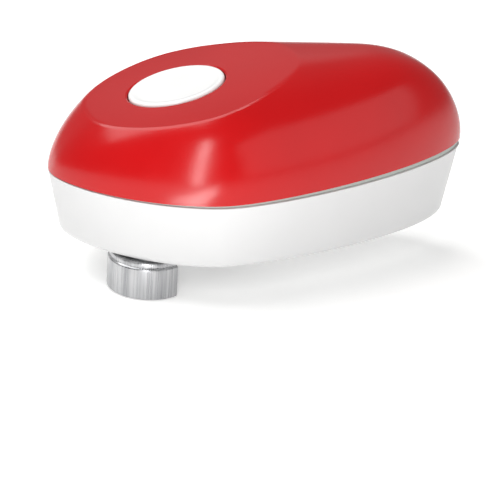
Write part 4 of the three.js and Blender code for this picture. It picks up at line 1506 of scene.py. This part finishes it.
SOFTBOXES = (
    SoftBox("overhead_softbox", (-300.0, 250.0, 800.0), (900.0, 900.0), 8.4),
    SoftBox("back_softbox", (200.0, 900.0, 520.0), (500.0, 300.0), 0.1),
    SoftBox("front_strip", (-280.0, -600.0, 290.0), (90.0, 640.0), 2.1),
    SoftBox("table_strip", (-84.0, -270.0, -12.5), (55.0, 300.0), 0.6, (-84.0, -270.0, 100.0)),
    SoftBox("right_softbox", (560.0, -520.0, 330.0), (900.0, 600.0), 1.5),
)


@dataclass
class Studio:
    """Glowing white table, soft lights and the camera."""

    target: tuple[float, float, float] = (0.0, 0.0, 35.0)
    azimuth_deg: float = -19.66
    elevation_deg: float = 18.88
    roll_deg: float = 3.92
    distance: float = 651.0
    sensor: float = 36.0
    lens: float = 131.688
    aim_right: float = 1.0152
    aim_down: float = 8.6688
    floor_z: float = -13.7
    table_reach: float = 4000.0
    table_glow: float = 0.3
    table_cloud: float = 60.0
    air_strength: float = 0.23

    def camera(self) -> None:
        """Places the camera and aims it a little below the body."""
        azimuth, elevation = math.radians(self.azimuth_deg), math.radians(self.elevation_deg)
        level = math.cos(elevation)
        back = Vector((math.sin(azimuth) * level, -math.cos(azimuth) * level, math.sin(elevation)))
        flat = Vector((math.cos(azimuth), math.sin(azimuth), 0.0))
        rise = back.cross(flat)
        roll = math.radians(self.roll_deg)
        right = flat * math.cos(roll) + rise * math.sin(roll)
        up = rise * math.cos(roll) - flat * math.sin(roll)
        aim = right * self.aim_right - up * self.aim_down
        ahead = (aim / self.lens - back).normalized()
        side = ahead.cross(up).normalized()
        top = side.cross(ahead)
        place = (Vector(self.target) + back * self.distance) * MM
        data = bpy.data.cameras.new("camera")
        data.sensor_width = self.sensor
        data.lens = self.lens
        data.clip_start = 0.01
        camera = bpy.data.objects.new("camera", data)
        turn = Matrix((side, top, -ahead)).transposed()
        camera.matrix_world = Matrix.Translation(place) @ turn.to_4x4()
        bpy.context.scene.collection.objects.link(camera)
        bpy.context.scene.camera = camera

    def backdrop(self) -> None:
        """A matt white light table, which glows a little so that shadows on it stay pale."""
        material, shader = new_material("white_light_table", Roughness=0.9, Specular_IOR_Level=0.1,
                                        Emission_Color=linear("#ffffff"),
                                        Emission_Strength=self.table_glow)
        tree = material.node_tree
        cloud = add_node(tree, "ShaderNodeMapRange", MIDDLE,
                         {"Value": mottle(tree, self.table_cloud, 2.0)})
        colour = add_node(tree, "ShaderNodeMix",
                          {FIRST_COLOUR: linear("#f6f6f5"), SECOND_COLOUR: linear("#f4f4f3")},
                          {"Factor": cloud.outputs["Result"]}, data_type="RGBA")
        wire(tree, shader, {"Base Color": colour.outputs[MIXED_COLOUR]})
        reach = self.table_reach * MM
        signs = ((-1, -1), (1, -1), (1, 1), (-1, 1))
        points = [(reach * across, reach * along, 0.0) for across, along in signs]
        mesh = bpy.data.meshes.new("light_table")
        mesh.from_pydata(points, [], [(0, 1, 2, 3)])
        mesh.materials.append(material)
        table = bpy.data.objects.new("light_table", mesh)
        table.location.z = self.floor_z * MM
        bpy.context.scene.collection.objects.link(table)

    def world(self) -> None:
        """Even white light from all round."""
        world = bpy.data.worlds.new("studio_air")
        bpy.context.scene.world = world
        world.use_nodes = True
        background = world.node_tree.nodes["Background"]
        background.inputs["Color"].default_value = (1.0, 1.0, 1.0, 1.0)
        background.inputs["Strength"].default_value = self.air_strength

    def build(self) -> None:
        """Sets up the whole studio."""
        bpy.context.scene.view_settings.view_transform = "Standard"
        self.world()
        self.backdrop()
        self.camera()
        for softbox in SOFTBOXES:
            softbox.build()


def main() -> None:
    """Builds the finishes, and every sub-assembly and the studio."""
    logging.basicConfig(level=logging.INFO, format="%(name)s: %(message)s")
    finishes = Finishes()
    finishes.build()
    assemblies = [UpperShell(), LowerShell(), SeamBand(), StartButton(), CutterGuard(),
                  CuttingWheels(), BatteryCells(), BatteryDoor(), LidMagnet()]
    for assembly in assemblies:
        assembly.build(finishes)
    finishes.carry_over()
    Studio().build()


if __name__ == "__main__":
    main()
